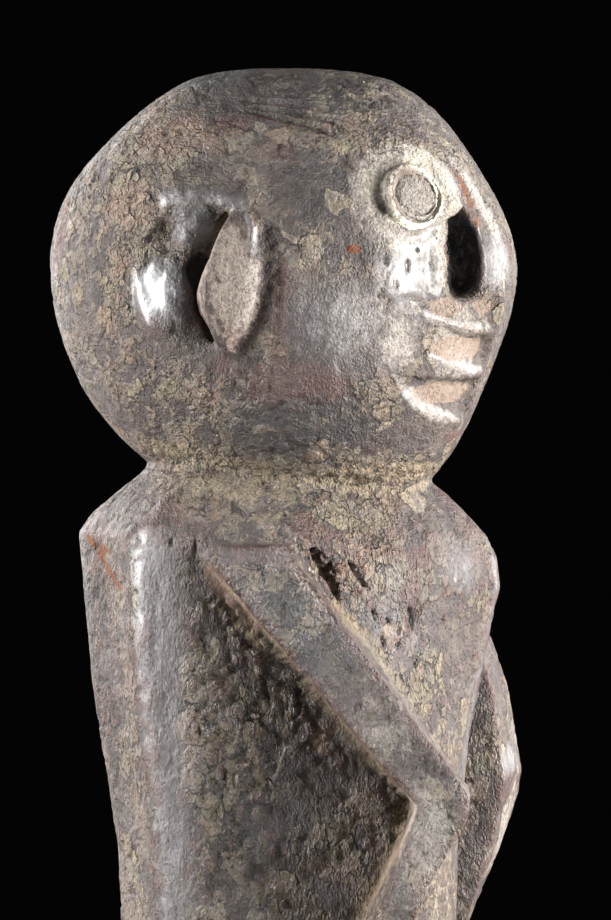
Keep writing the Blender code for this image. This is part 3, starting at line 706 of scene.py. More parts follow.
class Graph:
    """Short ways of adding nodes to one node tree."""

    def __init__(self, tree: bpy.types.NodeTree) -> None:
        """Keeps the tree."""
        self.tree = tree

    def add(self, kind: str, inputs: dict[Any, Any] | None = None, **settings: Any) -> bpy.types.Node:
        """Adds a node.

        Args:
            kind: The node's type name.
            inputs: What goes into its sockets, by name or number: a socket is linked.
            settings: The node's own settings.

        Returns:
            The node.
        """
        node = self.tree.nodes.new(kind)
        for name, value in settings.items():
            setattr(node, name, value)
        for key, value in (inputs or {}).items():
            if isinstance(value, Socket):
                self.tree.links.new(value, node.inputs[key])
            else:
                node.inputs[key].default_value = value
        return node

    def math(self, operation: str, *values: Value) -> Socket:
        """The result of one sum."""
        return self.add("ShaderNodeMath", dict(enumerate(values)), operation=operation).outputs[0]

    def vector(self, operation: str, *values: Any, output: str = "Vector") -> Socket:
        """The result of one sum of vectors."""
        node = self.add("ShaderNodeVectorMath", dict(enumerate(values)), operation=operation)
        return node.outputs[output]

    def scaled(self, place: Socket, factor: Value) -> Socket:
        """A vector times a number."""
        node = self.add("ShaderNodeVectorMath", {0: place, "Scale": factor}, operation="SCALE")
        return node.outputs["Vector"]

    def spread(self, value: Value, low: float, high: float, start: float = 0.0, end: float = 1.0) -> Socket:
        """A value taken smoothly from one range to another.

        Args:
            value: The value.
            low: Where the change starts.
            high: Where it ends.
            start: The result at low.
            end: The result at high.

        Returns:
            The new value.
        """
        inputs = {"Value": value, "From Min": low, "From Max": high, "To Min": start, "To Max": end}
        return self.add("ShaderNodeMapRange", inputs, interpolation_type="SMOOTHSTEP").outputs[0]

    def noise(self, place: Socket, scale: Value, detail: float = 2.0, rough: float = 0.5) -> Socket:
        """A cloudy value round a half.

        Args:
            place: Where it is read.
            scale: How many swells fit in one unit.
            detail: How many finer layers it has.
            rough: How strong those layers are.

        Returns:
            The value.
        """
        inputs = {"Vector": place, "Scale": scale, "Detail": detail, "Roughness": rough}
        return self.add("ShaderNodeTexNoise", inputs).outputs[0]

    def drift(self, place: Socket, scale: float, reach: Value) -> Socket:
        """A place moved about by noise, so that what is drawn there loses its straight lines.

        Args:
            place: The place.
            scale: How many swells of the noise fit in one unit.
            reach: How far the place can move.

        Returns:
            The moved place.
        """
        inputs = {"Vector": place, "Scale": scale, "Detail": 2.0, "Roughness": 0.55}
        cloud = self.add("ShaderNodeTexNoise", inputs).outputs["Color"]
        return self.vector("ADD", place, self.scaled(self.vector("SUBTRACT", cloud, (0.5,) * 3), reach))

    def cells(self, place: Socket, scale: Value, feature: str = "F1") -> bpy.types.Node:
        """A field of cells."""
        inputs = {"Vector": place, "Scale": scale}
        return self.add("ShaderNodeTexVoronoi", inputs, feature=feature)

    def moved(self, place: Socket, step: Place) -> Socket:
        """A place with a fixed step added."""
        return self.vector("ADD", place, step) if any(step) else place

    def blend(self, share: Value, low: Any, high: Any) -> Socket:
        """One colour over another.

        Args:
            share: How much of the upper colour shows.
            low: The colour below.
            high: The colour above.

        Returns:
            The mixed colour.
        """
        inputs = {0: share, 6: low, 7: high}
        return self.add("ShaderNodeMix", inputs, data_type="RGBA", clamp_factor=True).outputs[2]

    def between(self, share: Value, low: Value, high: Value) -> Socket:
        """One number over another."""
        inputs = {0: share, 2: low, 3: high}
        return self.add("ShaderNodeMix", inputs, data_type="FLOAT", clamp_factor=True).outputs[0]

    def painted(self, name: str) -> Socket:
        """The value painted on the surface under a name."""
        return self.add("ShaderNodeAttribute", attribute_name=name).outputs["Fac"]


class Effect:
    """A surface effect that several finishes share, kept as one node group."""

    def __init__(self, name: str, inputs: dict[str, float | None], outputs: Sequence[str]) -> None:
        """Starts the group.

        Args:
            name: The group's name.
            inputs: Its inputs with their defaults: None stands for a place.
            outputs: Its outputs, which are numbers.
        """
        self.tree = bpy.data.node_groups.new(name, "ShaderNodeTree")
        face = self.tree.interface
        for label, default in inputs.items():
            kind = "NodeSocketVector" if default is None else "NodeSocketFloat"
            made = face.new_socket(label, in_out="INPUT", socket_type=kind)
            if default is not None:
                made.default_value = default
        for label in outputs:
            face.new_socket(label, in_out="OUTPUT", socket_type="NodeSocketFloat")
        self.graph = Graph(self.tree)
        self.given = self.graph.add("NodeGroupInput").outputs
        self.result = self.graph.add("NodeGroupOutput").inputs

    def give(self, **values: Socket) -> None:
        """Joins the results to the group's outputs, by name with _ for a space."""
        for label, value in values.items():
            self.tree.links.new(value, self.result[label.replace("_", " ")])

    def use(self, graph: Graph, inputs: dict[str, Any]) -> bpy.types.NodeOutputs:
        """Places the group in a material.

        Args:
            graph: The material's graph.
            inputs: What goes into the group.

        Returns:
            The group's outputs.
        """
        node = graph.add("ShaderNodeGroup", node_tree=self.tree)
        for label, value in inputs.items():
            if isinstance(value, Socket):
                graph.tree.links.new(value, node.inputs[label])
            else:
                node.inputs[label].default_value = value
        return node.outputs


class Effects:
    """The shared effects, each built once."""

    chip_hold: float = 1.48
    light_step: Place = (0.0, 0.12, 0.28)

    def __init__(self) -> None:
        """Builds every group."""
        self.flakes = self.build_flakes()
        self.mottle = self.build_mottle()
        self.pits = self.build_pits()
        self.wear = self.build_wear()
        self.dust = self.build_dust()

    def build_flakes(self) -> Effect:
        """A layer of crust broken into chips: some are lost, and some curl up over a gap of painted shadow.

        Returns:
            The group.
        """
        inputs = {"Place": None, "Size": 3.5, "Lift": 0.3, "Step": 0.2, "Gap": 0.07, "Cover": 0.5}
        effect = Effect("flakes", inputs, ("Height", "Gap", "Lip", "Tone", "Layer"))
        g, given = effect.graph, effect.given
        cell_place = g.scaled(given["Place"], g.math("DIVIDE", 1.0, given["Size"]))
        cell = g.cells(cell_place, 1.0)
        edge = g.cells(cell_place, 1.0, "DISTANCE_TO_EDGE").outputs["Distance"]
        tones = g.add("ShaderNodeSeparateColor", {0: cell.outputs["Color"]}).outputs
        cloud = g.noise(cell.outputs["Position"], 0.33, 2.0, 0.5)
        held = g.math("ADD", g.math("MULTIPLY", cloud, 1.3), g.math("MULTIPLY", tones[2], 0.5))
        held = g.math("GREATER_THAN", g.math("ADD", held, given["Cover"]), self.chip_hold)
        near = g.math("DIVIDE", edge, given["Gap"])
        layer = g.math("MULTIPLY", held, g.spread(near, 0.0, 1.0))
        turned = g.vector("NORMALIZE", g.vector("SUBTRACT", cell.outputs["Color"], (0.5, 0.5, 0.5)))
        offset = g.vector("SUBTRACT", cell_place, cell.outputs["Position"])
        tilt = g.vector("DOT_PRODUCT", offset, turned, output="Value")
        lifted = g.math("MULTIPLY", g.spread(tilt, 0.2, 0.42), held)
        # Painted shadow: a dark line under the lifted side of a curled chip.
        gap = g.math("MULTIPLY", g.math("SUBTRACT", 1.0, g.spread(near, 0.4, 1.0)), lifted)
        lip = g.math("MULTIPLY", g.math("SUBTRACT", 1.0, g.spread(near, 1.4, 4.0)), lifted)
        lip = g.math("MULTIPLY", lip, g.spread(near, 0.7, 1.1))
        curl = g.math("MULTIPLY", g.math("MULTIPLY", tilt, held), given["Lift"])
        height = g.math("ADD", curl, g.math("MULTIPLY", layer, given["Step"]))
        height = g.math("SUBTRACT", height, g.math("MULTIPLY", gap, given["Step"]))
        effect.give(Height=height, Gap=gap, Lip=lip, Tone=tones[0], Layer=layer)
        return effect

    def build_mottle(self) -> Effect:
        """Clouds of another tone, with the shaded and the lit side of their rims.

        Returns:
            The group.
        """
        inputs = {"Place": None, "Size": 10.0, "Share": 0.5, "Edge": 0.06}
        effect = Effect("mottle", inputs, ("Amount", "Shade", "Light"))
        g, given = effect.graph, effect.given

        def amount(place: Socket) -> Socket:
            """How much of the other tone there is at a place.

            Args:
                place: The place.

            Returns:
                The amount, from 0 to 1.
            """
            cloud = g.noise(place, g.math("DIVIDE", 1.0, given["Size"]), 3.0, 0.66)
            shifted = g.math("ADD", cloud, g.math("SUBTRACT", given["Share"], 0.5))
            over = g.math("DIVIDE", g.math("SUBTRACT", shifted, 0.5), given["Edge"])
            return g.spread(over, -1.0, 1.0)

        # Painted shade and painted light: the cloud is read again a small step aside, so one side of its edge is
        # drawn dark and the other lit.
        here, beside = amount(given["Place"]), amount(g.moved(given["Place"], self.light_step))
        shade = g.math("MAXIMUM", g.math("SUBTRACT", beside, here), 0.0)
        light = g.math("MAXIMUM", g.math("SUBTRACT", here, beside), 0.0)
        effect.give(Amount=here, Shade=shade, Light=light)
        return effect

    def build_pits(self) -> Effect:
        """Fine open pores and grit.

        Returns:
            The group.
        """
        effect = Effect("pits", {"Place": None, "Size": 0.9, "Share": 0.4}, ("Height", "Pit"))
        g, given = effect.graph, effect.given
        place = g.drift(given["Place"], 1.3, 0.5)
        cell = g.cells(g.scaled(place, g.math("DIVIDE", 1.0, given["Size"])), 1.0)
        tone = g.add("ShaderNodeSeparateColor", {0: cell.outputs["Color"]}).outputs[1]
        here = g.math("LESS_THAN", tone, given["Share"])
        hole = g.math("SUBTRACT", 1.0, g.spread(cell.outputs["Distance"], 0.12, 0.34))
        pit = g.math("MULTIPLY", hole, here)
        grit = g.noise(given["Place"], 1.7, 3.0, 0.74)
        raised = g.math("MULTIPLY", g.math("SUBTRACT", grit, 0.5), 0.62)
        effect.give(Height=g.math("SUBTRACT", raised, g.math("MULTIPLY", pit, 0.25)), Pit=pit)
        return effect

    def build_wear(self) -> Effect:
        """Edges rubbed by hands: broken up along their length.

        Returns:
            The group.
        """
        effect = Effect("wear", {"Place": None, "Edge": 0.0, "Amount": 0.5}, ("Mask",))
        g, given = effect.graph, effect.given
        broken = g.noise(given["Place"], 0.35, 3.0, 0.64)
        total = g.math("ADD", given["Edge"], g.math("MULTIPLY", g.math("SUBTRACT", broken, 0.5), 0.9))
        effect.give(Mask=g.spread(g.math("ADD", total, g.math("SUBTRACT", given["Amount"], 0.5)), 0.42, 0.66))
        return effect

    def build_dust(self) -> Effect:
        """Dust that lies in hollows, in clouds.

        Returns:
            The group.
        """
        effect = Effect("dust", {"Place": None, "Hollow": 0.0, "Amount": 0.5}, ("Mask",))
        g, given = effect.graph, effect.given
        cloud = g.noise(given["Place"], 0.6, 3.0, 0.69)
        total = g.math("ADD", given["Hollow"], g.math("MULTIPLY", g.math("SUBTRACT", cloud, 0.5), 1.1))
        effect.give(Mask=g.spread(g.math("ADD", total, g.math("SUBTRACT", given["Amount"], 0.5)), 0.3, 0.7))
        return effect


# --------------------------------------------------------------------------- finishes


@dataclass(frozen=True)
class Tint:
    """A colour as the eye sees it, each part from 0 to 255."""

    red: int
    green: int
    blue: int

    def linear(self) -> tuple[float, float, float, float]:
        """The colour as light adds up.

        Returns:
            Its red, green and blue and an alpha of 1.
        """
        parts = [c / 255 for c in (self.red, self.green, self.blue)]
        red, green, blue = (c / 12.92 if c <= 0.04045 else ((c + 0.055) / 1.055) ** 2.4 for c in parts)
        return (red, green, blue, 1.0)


@dataclass(frozen=True)
class FlakeLayer:
    """One layer of flakes. Its sizes are in millimetres."""

    size: float
    lift: float
    step: float
    gap: float
    shift: Place = (0.0, 0.0, 0.0)

    def use(self, graph: Graph, effects: Effects, place: Socket, cover: Socket) -> bpy.types.NodeOutputs:
        """Places the layer in a material.

        Args:
            graph: The material's graph.
            effects: The shared effects.
            place: Where the flakes are read.
            cover: How much of the layer is left.

        Returns:
            The outputs of the flakes.
        """
        values = {"Size": self.size, "Lift": self.lift, "Step": self.step, "Gap": self.gap, "Cover": cover}
        return effects.flakes.use(graph, {"Place": graph.moved(place, self.shift), **values})


@dataclass(frozen=True)
class Mottling:
    """Clouds of another tone. Their size is in millimetres."""

    size: float
    share: float
    edge: float
    shift: Place = (0.0, 0.0, 0.0)

    def use(self, graph: Graph, effects: Effects, place: Socket) -> bpy.types.NodeOutputs:
        """Places the clouds in a material.

        Args:
            graph: The material's graph.
            effects: The shared effects.
            place: Where the clouds are read.

        Returns:
            The outputs of the clouds.
        """
        values = {"Size": self.size, "Share": self.share, "Edge": self.edge}
        return effects.mottle.use(graph, {"Place": graph.moved(place, self.shift), **values})


@dataclass(frozen=True)
class CrustFinish:
    """The old crust over dark wood, with all that has happened to it."""

    grey: Tint = Tint(88, 79, 69)
    mauve: Tint = Tint(52, 42, 38)
    brown: Tint = Tint(43, 29, 23)
    pink: Tint = Tint(107, 83, 70)
    tan: Tint = Tint(114, 100, 79)
    olive: Tint = Tint(94, 85, 66)
    rust: Tint = Tint(62, 28, 19)
    # Dark tone, also laid as painted shade on the crown, jaw, flank and ear crevice.
    dark: Tint = Tint(28, 22, 19)
    cream: Tint = Tint(142, 135, 122)
    # Pale tone, also laid as painted highlight.
    pale: Tint = Tint(120, 112, 103)
    chalk: Tint = Tint(198, 192, 172)
    amber: Tint = Tint(92, 46, 10)
    # Near black: painted shade in crevices, slots, splits and pores.
    soot_and_shade: Tint = Tint(8, 7, 6)
    # Painted sheen: a cooler grey laid where the crust is polished.
    painted_sheen: Tint = Tint(78, 73, 72)
    # Blue-grey: mostly painted sheen.
    blue: Tint = Tint(88, 86, 88)
    peach: Tint = Tint(98, 80, 66)
    rough: float = 0.46
    rough_spots: float = 0.12
    polished: float = 0.38
    rubbed: float = 0.4
    dusty: float = 0.82
    soot_and_shade_rough: float = 0.8
    bare: float = 0.85
    coat: float = 0.9
    coat_rough: float = 0.29
    index: float = 1.5
    specular: float = 0.42
    body_stretch: float = 0.72
    neck: float = 270.0
    big_flakes: FlakeLayer = FlakeLayer(5.0, 0.8, 0.32, 0.075)
    small_flakes: FlakeLayer = FlakeLayer(2.3, 0.4, 0.22, 0.12, (31.0, 17.0, 5.0))
    pore_size: float = 0.85
    pore_share: float = 0.4
    clouds: Mottling = Mottling(17.0, 0.5, 0.16)
    spots: Mottling = Mottling(6.0, 0.5, 0.1, (9.0, 3.0, 40.0))
    specks: Mottling = Mottling(0.7, 0.5, 0.12)
    blots: Mottling = Mottling(4.2, 0.45, 0.02, (71.0, 5.0, 13.0))
    stains: Mottling = Mottling(8.0, 0.44, 0.02, (3.0, 57.0, 29.0))
    dust: float = 0.3
    wear: float = 0.28

    def material(self, effects: Effects) -> bpy.types.Material:
        """The crust's material.

        Args:
            effects: The shared effects.

        Returns:
            The material.
        """
        made = bpy.data.materials.new("old_crust")
        made.use_nodes = True
        tree = made.node_tree
        tree.nodes.clear()
        g = Graph(tree)
        even = {"Coat Roughness": self.coat_rough, "IOR": self.index, "Specular IOR Level": self.specular}
        shader = g.add("ShaderNodeBsdfPrincipled", even)
        tree.links.new(shader.outputs[0], g.add("ShaderNodeOutputMaterial").inputs[0])
        coats = CrustCoats(self, effects, g)
        bump = g.add("ShaderNodeBump", {"Height": coats.relief(), "Distance": MM, "Strength": 1.0})
        tree.links.new(coats.colour(), shader.inputs["Base Color"])
        tree.links.new(coats.roughness(), shader.inputs["Roughness"])
        tree.links.new(coats.gloss(), shader.inputs["Coat Weight"])
        tree.links.new(bump.outputs[0], shader.inputs["Normal"])
        return made


class CrustCoats:
    """The coats of the old crust, laid one over the other in one material."""

    def __init__(self, finish: CrustFinish, effects: Effects, graph: Graph) -> None:
        """Reads the painted places and breaks the crust up.

        Args:
            finish: The finish, with its tints and sizes.
            effects: The shared effects.
            graph: The material's graph.
        """
        self.finish, self.graph = finish, graph
        g = graph
        self.place = self.stretched()
        self.zones = {zone: g.painted(zone.value) for zone in Zone}
        self.polish = self.zones[Zone.POLISH]
        calm = g.math("MAXIMUM", self.polish, g.math("MULTIPLY", self.zones[Zone.CREAM], 0.8))
        self.calm = g.math("MINIMUM", g.math("MAXIMUM", calm, self.zones[Zone.EVEN]), 1.0)
        self.rims_cloud = g.noise(self.place, 0.42, 4.0, 0.73)

        region = g.spread(g.noise(self.place, 0.045, 2.0, 0.62), 0.35, 0.65, 0.22, 0.5)
        chipped = g.math("ADD", g.math("MULTIPLY", self.zones[Zone.CHIPS], 0.34), region)
        lively = g.spread(self.calm, 0.1, 0.9, 1.0, 0.1)
        cover = g.math("MULTIPLY", chipped, lively)
        broken = g.drift(g.drift(self.place, 0.35, 3.4), 1.5, 1.1)
        self.big = finish.big_flakes.use(g, effects, broken, cover)
        self.small = finish.small_flakes.use(g, effects, broken, cover)
        pores = {"Place": self.place, "Size": finish.pore_size, "Share": finish.pore_share}
        self.pits = effects.pits.use(g, pores)

        self.clouds = finish.clouds.use(g, effects, self.place)["Amount"]
        self.spots = finish.spots.use(g, effects, self.place)["Amount"]
        self.specks = finish.specks.use(g, effects, self.place)["Amount"]
        blots = finish.blots.use(g, effects, self.place)
        stains = finish.stains.use(g, effects, self.place)
        flaky = g.math("MULTIPLY", g.spread(chipped, 0.15, 0.6, 0.25, 1.0), lively)
        self.blots = g.math("MULTIPLY", blots["Amount"], flaky)
        self.stains = g.math("MULTIPLY", stains["Amount"], flaky)
        # Painted shadow and painted light along the edges of the blots and stains.
        shade = g.math("MULTIPLY", g.math("MAXIMUM", blots["Shade"], stains["Shade"]), flaky)
        self.light = g.math("MULTIPLY", g.math("MAXIMUM", blots["Light"], stains["Light"]), flaky)

        hollow, worn = g.painted("hollow"), g.painted("worn")
        self.dust = effects.dust.use(g, {"Place": self.place, "Hollow": hollow, "Amount": finish.dust})[0]
        self.edge = effects.wear.use(g, {"Place": self.place, "Edge": worn, "Amount": finish.wear})[0]
        self.amber = self.zone_mask(Zone.AMBER, 0.7)
        # Painted shade, near black, in crevices, slots, splits and pores.
        self.soot_and_shade = self.zone_mask(Zone.SOOT_AND_SHADE, 0.5)
        # Painted shadow in the gaps under curled chips and along the edges of blots and stains, with the dark pores.
        cracks_and_shadow = g.math("MAXIMUM", self.big["Gap"], g.math("MULTIPLY", self.small["Gap"], 0.85))
        cracks_and_shadow = g.math("MAXIMUM", cracks_and_shadow, g.math("MULTIPLY", shade, 0.8))
        self.cracks_and_shadow = g.math("MAXIMUM", cracks_and_shadow, g.math("MULTIPLY", self.pits["Pit"], 0.5))

    def stretched(self) -> Socket:
        """The place on the surface in millimetres, with the pattern drawn out below the neck.

        Returns:
            The place.
        """
        g = self.graph
        here = g.scaled(g.add("ShaderNodeTexCoord").outputs["Object"], 1 / MM)
        height = g.add("ShaderNodeSeparateXYZ", {0: here}).outputs[2]
        below = g.math("MINIMUM", g.math("SUBTRACT", height, self.finish.neck), 0.0)
        step = g.math("MULTIPLY", below, 1.0 - self.finish.body_stretch)
        return g.vector("SUBTRACT", here, g.add("ShaderNodeCombineXYZ", {2: step}).outputs[0])

    def zone_mask(self, zone: Zone, reach: float, low: float = 0.3, high: float = 0.6) -> Socket:
        """A painted zone with its rim broken up by noise.

        Args:
            zone: The zone.
            reach: How far the noise moves its rim.
            low: Where the rim starts, as a share of the zone's strength.
            high: Where it ends.

        Returns:
            The mask.
        """
        g, painted = self.graph, self.zones[zone]
        cloud = g.math("MULTIPLY", g.math("SUBTRACT", self.rims_cloud, 0.5), reach)
        inside = g.spread(g.math("ADD", painted, cloud), low, high)
        return g.math("MULTIPLY", inside, g.spread(painted, 0.0, 0.08))

    def laid(self, below: Socket, coats: Iterable[tuple[Tint, Socket, float]]) -> Socket:
        """Coats laid over a colour in turn.

        Args:
            below: The colour below them.
            coats: For each coat its tint, where it lies and how much of it shows there.

        Returns:
            The colour.
        """
        g = self.graph
        for tint, where, most in coats:
            below = g.blend(g.math("MULTIPLY", where, most), below, tint.linear())
        return below

    def colour(self) -> Socket:
        """The colour of the surface, from the wood up to the painted shade.

        Returns:
            The colour.
        """
        g, look, mask = self.graph, self.finish, self.zone_mask
        big, small, blots, stains = self.big, self.small, self.blots, self.stains
        alone = g.math("MULTIPLY", stains, g.math("SUBTRACT", 1.0, blots))
        flakes = (
            (look.tan, blots, 0.5),
            (look.pink, alone, 0.65),
            (look.tan, g.math("GREATER_THAN", small["Tone"], 0.7), 0.35),
            (look.pink, g.math("LESS_THAN", big["Tone"], 0.25), 0.4),
        )
        crust = self.laid(g.blend(self.spots, look.grey.linear(), look.olive.linear()), flakes)
        covered = g.math("MAXIMUM", big["Layer"], g.math("MULTIPLY", small["Layer"], 0.75))
        covered = g.math("MAXIMUM", covered, g.math("MULTIPLY", g.math("MAXIMUM", blots, stains), 0.7))
        wood = g.blend(self.clouds, look.mauve.linear(), look.brown.linear())
        bare = g.math("SUBTRACT", 1.0, g.math("MULTIPLY", g.math("MAXIMUM", big["Layer"], blots), 0.8))
        # Tan lips of the chips, with painted light on the lit side of cloud edges.
        rims = g.math("MAXIMUM", big["Lip"], g.math("MULTIPLY", small["Lip"], 0.7))
        rims = g.math("MAXIMUM", rims, g.math("MULTIPLY", self.light, 0.5))
        dusty_pale = g.math("MULTIPLY", mask(Zone.TAN, 0.5, 0.7, 0.9), self.zones[Zone.PALE_AND_LIT])
        coats = (
            (look.rust, mask(Zone.RUST, 1.1), 0.75),
            # Darker tone, with painted shade on the crown, jaw, flank and ear crevice.
            (look.dark, g.math("MULTIPLY", mask(Zone.DARK, 1.2), bare), 0.85),
            (look.pink, mask(Zone.PINK, 1.0, 0.36, 0.48), 0.6),
            (look.tan, mask(Zone.TAN, 1.0, 0.36, 0.48), 0.75),
            (look.tan, self.dust, 0.5),
            # Paler tone, with painted highlight on the cheeks, nose, mouth rims and far forearm.
            (look.pale, mask(Zone.PALE_AND_LIT, 1.0, 0.3, 0.6), 0.8),
            (look.tan, dusty_pale, 0.8),
            # Blue-grey tone, mostly painted sheen on polished ridges, rims and bulges.
            (look.blue, mask(Zone.BLUE, 0.8, 0.15, 0.75), 0.7),
            # Painted sheen where the crust is polished.
            (look.painted_sheen, self.polish, 0.45),
            (look.peach, mask(Zone.PEACH, 0.9, 0.32, 0.42), 0.9),
            (look.cream, mask(Zone.CREAM, 0.95, 0.3, 0.44), 0.85),
            (look.chalk, mask(Zone.CHALK, 0.7, 0.3, 0.42), 0.9),
            # The tan lips, with painted light on lit cloud edges.
            (look.tan, rims, 0.6),
            (look.rust, self.edge, 0.5),
            (look.amber, self.amber, 0.9),
            (look.soot_and_shade, g.math("SUBTRACT", self.specks, 0.3), 0.6),
            # Painted shadow in the chip gaps, the pores and along cloud edges.
            (look.soot_and_shade, self.cracks_and_shadow, 0.9),
            # Painted shade, near black, in crevices, slots, splits and pores.
            (look.soot_and_shade, self.soot_and_shade, 0.96),
        )
        return self.laid(g.blend(g.math("MULTIPLY", covered, 0.85), wood, crust), coats)

    def roughness(self) -> Socket:
        """How rough the surface is.

        Returns:
            The roughness.
        """
        g, look = self.graph, self.finish
        rough = g.between(self.spots, look.rough, look.rough + look.rough_spots)
        rough = g.between(g.math("MAXIMUM", self.dust, self.zones[Zone.TAN]), rough, look.dusty)
        rough = g.between(self.polish, rough, look.polished)
        rough = g.between(g.math("MAXIMUM", self.cracks_and_shadow, self.soot_and_shade), rough, look.soot_and_shade_rough)
        rough = g.between(self.edge, rough, look.rubbed)
        return g.between(self.amber, rough, look.bare)

    def gloss(self) -> Socket:
        """Where the polish of many hands lies over the crust.

        Returns:
            The weight of the coat.
        """
        g = self.graph
        dull = g.math("MAXIMUM", g.math("MAXIMUM", self.cracks_and_shadow, self.soot_and_shade), self.amber)
        polish = g.math("MULTIPLY", self.polish, self.finish.coat)
        return g.math("MULTIPLY", polish, g.math("SUBTRACT", 1.0, dull))

    def relief(self) -> Socket:
        """The finest relief: flakes, pores, grit and the swell under them.

        Returns:
            The height in millimetres.
        """
        g, calm = self.graph, self.calm
        flakes = g.math("ADD", self.big["Height"], self.small["Height"])
        flakes = g.math("ADD", flakes, g.math("MULTIPLY", self.blots, 0.26))
        flakes = g.math("ADD", flakes, g.math("MULTIPLY", self.stains, 0.3))
        flakes = g.math("MULTIPLY", flakes, g.spread(calm, 0.0, 1.0, 1.0, 0.2))
        pits = g.math("MULTIPLY", self.pits["Height"], g.spread(calm, 0.0, 1.0, 1.0, 0.4))
        swell = g.math("MULTIPLY", g.noise(self.place, 0.5, 3.0, 0.5), g.between(self.zones[Zone.TORN], 0.7, 1.8))
        swell = g.math("MULTIPLY", swell, g.spread(calm, 0.0, 1.0, 1.0, 0.3))
        waves = g.math("MULTIPLY", g.noise(self.place, 0.28, 2.0, 0.5), g.math("MULTIPLY", self.polish, 0.9))
        return g.math("ADD", g.math("ADD", g.math("ADD", flakes, pits), swell), waves)


@dataclass(frozen=True)
class BareWoodFinish:
    """The sawn underside: bare, greyed wood with its end grain."""

    light: Tint = Tint(120, 92, 66)
    dark: Tint = Tint(70, 50, 38)
    rough: float = 0.75
    ring_step: float = 2.6
    heart: Place = (14.0, 6.0, 0.0)
    pore_size: float = 0.8
    pore_share: float = 0.5

    def material(self, effects: Effects) -> bpy.types.Material:
        """The underside's material.

        Args:
            effects: The shared effects.

        Returns:
            The material.
        """
        made = bpy.data.materials.new("bare_underside")
        made.use_nodes = True
        tree = made.node_tree
        tree.nodes.clear()
        g = Graph(tree)
        shader = g.add("ShaderNodeBsdfPrincipled", {"Roughness": self.rough})
        tree.links.new(shader.outputs[0], g.add("ShaderNodeOutputMaterial").inputs[0])
        place = g.scaled(g.add("ShaderNodeTexCoord").outputs["Object"], 1 / MM)
        flat = g.vector("MULTIPLY", g.drift(place, 0.06, 5.0), (1.0, 1.0, 0.0))
        far = g.vector("LENGTH", g.vector("SUBTRACT", flat, self.heart), output="Value")
        ring = g.math("SINE", g.math("MULTIPLY", far, self.ring_step))
        pits = effects.pits.use(g, {"Place": place, "Size": self.pore_size, "Share": self.pore_share})
        colour = g.blend(g.spread(ring, -0.6, 0.9), self.light.linear(), self.dark.linear())
        colour = g.blend(g.math("MULTIPLY", pits["Pit"], 0.7), colour, self.dark.linear())
        relief = g.math("ADD", g.math("MULTIPLY", ring, 0.05), pits["Height"])
        bump = g.add("ShaderNodeBump", {"Height": relief, "Distance": MM, "Strength": 1.0})
        tree.links.new(colour, shader.inputs["Base Color"])
        tree.links.new(bump.outputs[0], shader.inputs["Normal"])
        return made


@dataclass(frozen=True)
class FloorFinish:
    """The pale paper that the figure stands on."""

    paper: Tint = Tint(176, 173, 168)
    rough: float = 0.85

    def material(self) -> bpy.types.Material:
        """The floor's material.

        Returns:
            The material.
        """
        made = bpy.data.materials.new("pale_paper")
        made.use_nodes = True
        shader = made.node_tree.nodes["Principled BSDF"]
        shader.inputs["Base Color"].default_value = self.paper.linear()
        shader.inputs["Roughness"].default_value = self.rough
        return made


# ------------------------------------------------------------------------ the carving


def neighbours(values: np.ndarray, start: np.ndarray, end: np.ndarray) -> np.ndarray:
    """What the neighbours of each point hold, added up.

    Args:
        values: One value for each point.
        start: The first point of each edge.
        end: Its second point.

    Returns:
        One sum for each point.
    """
    count = len(values)
    return np.bincount(start, values[end], count) + np.bincount(end, values[start], count)


class Surface:
    """The points of a mesh in millimetres, with what is worked out from them."""

    def __init__(self, mesh: bpy.types.Mesh) -> None:
        """Reads the mesh.

        Args:
            mesh: The mesh, which is only read.
        """
        count = len(mesh.vertices)
        flat = np.empty(count * 3, np.float32)
        mesh.vertices.foreach_get("co", flat)
        self.points = flat.reshape(-1, 3).astype(np.float64) / MM
        mesh.vertex_normals.foreach_get("vector", flat)
        self.normals = flat.reshape(-1, 3).astype(np.float64)
        pairs = np.empty(len(mesh.edges) * 2, np.int32)
        mesh.edges.foreach_get("vertices", pairs)
        self.ends = pairs.reshape(-1, 2)
        self.near = np.bincount(self.ends.ravel(), minlength=count).astype(np.float64)

    def averaged(self, values: np.ndarray, rounds: int, share: float = 0.5) -> np.ndarray:
        """Values smoothed over the surface.

        Args:
            values: One row for each point.
            rounds: How many times they are averaged with their neighbours.
            share: How far each goes towards the average.

        Returns:
            The smoothed values.
        """
        start, end = self.ends.T
        columns = values.reshape(len(values), -1).copy()
        for _ in range(rounds):
            for k in range(columns.shape[1]):
                column = columns[:, k]
                total = neighbours(column, start, end)
                columns[:, k] = column + share * (total / self.near - column)
        return columns.reshape(values.shape)

    def rounded(self, points: np.ndarray, chosen: np.ndarray, rounds: int) -> np.ndarray:
        """Points with some of them averaged among themselves, the rest held.

        Args:
            points: All points.
            chosen: Which of them move.
            rounds: How many times they are averaged.

        Returns:
            The new points.
        """
        inside = chosen[self.ends].all(1)
        number = np.cumsum(chosen) - 1
        start, end = number[self.ends[inside]].T
        moved = points[chosen].copy()
        near = np.bincount(np.concatenate((start, end)), minlength=len(moved)).astype(np.float64)
        held = near < self.near[chosen]
        for _ in range(rounds):
            for k in range(3):
                column = moved[:, k]
                total = neighbours(column, start, end)
                moved[:, k] = np.where(held, column, 0.5 * (column + total / np.maximum(near, 1.0)))
        made = points.copy()
        made[chosen] = moved
        return made

    def bulge(self, rounds: int) -> np.ndarray:
        """How far each point stands proud of the surface round it, in millimetres.

        Args:
            rounds: How far round the surface is averaged.

        Returns:
            The height of each point, negative in a hollow.
        """
        return ((self.points - self.averaged(self.points, rounds)) * self.normals).sum(1)


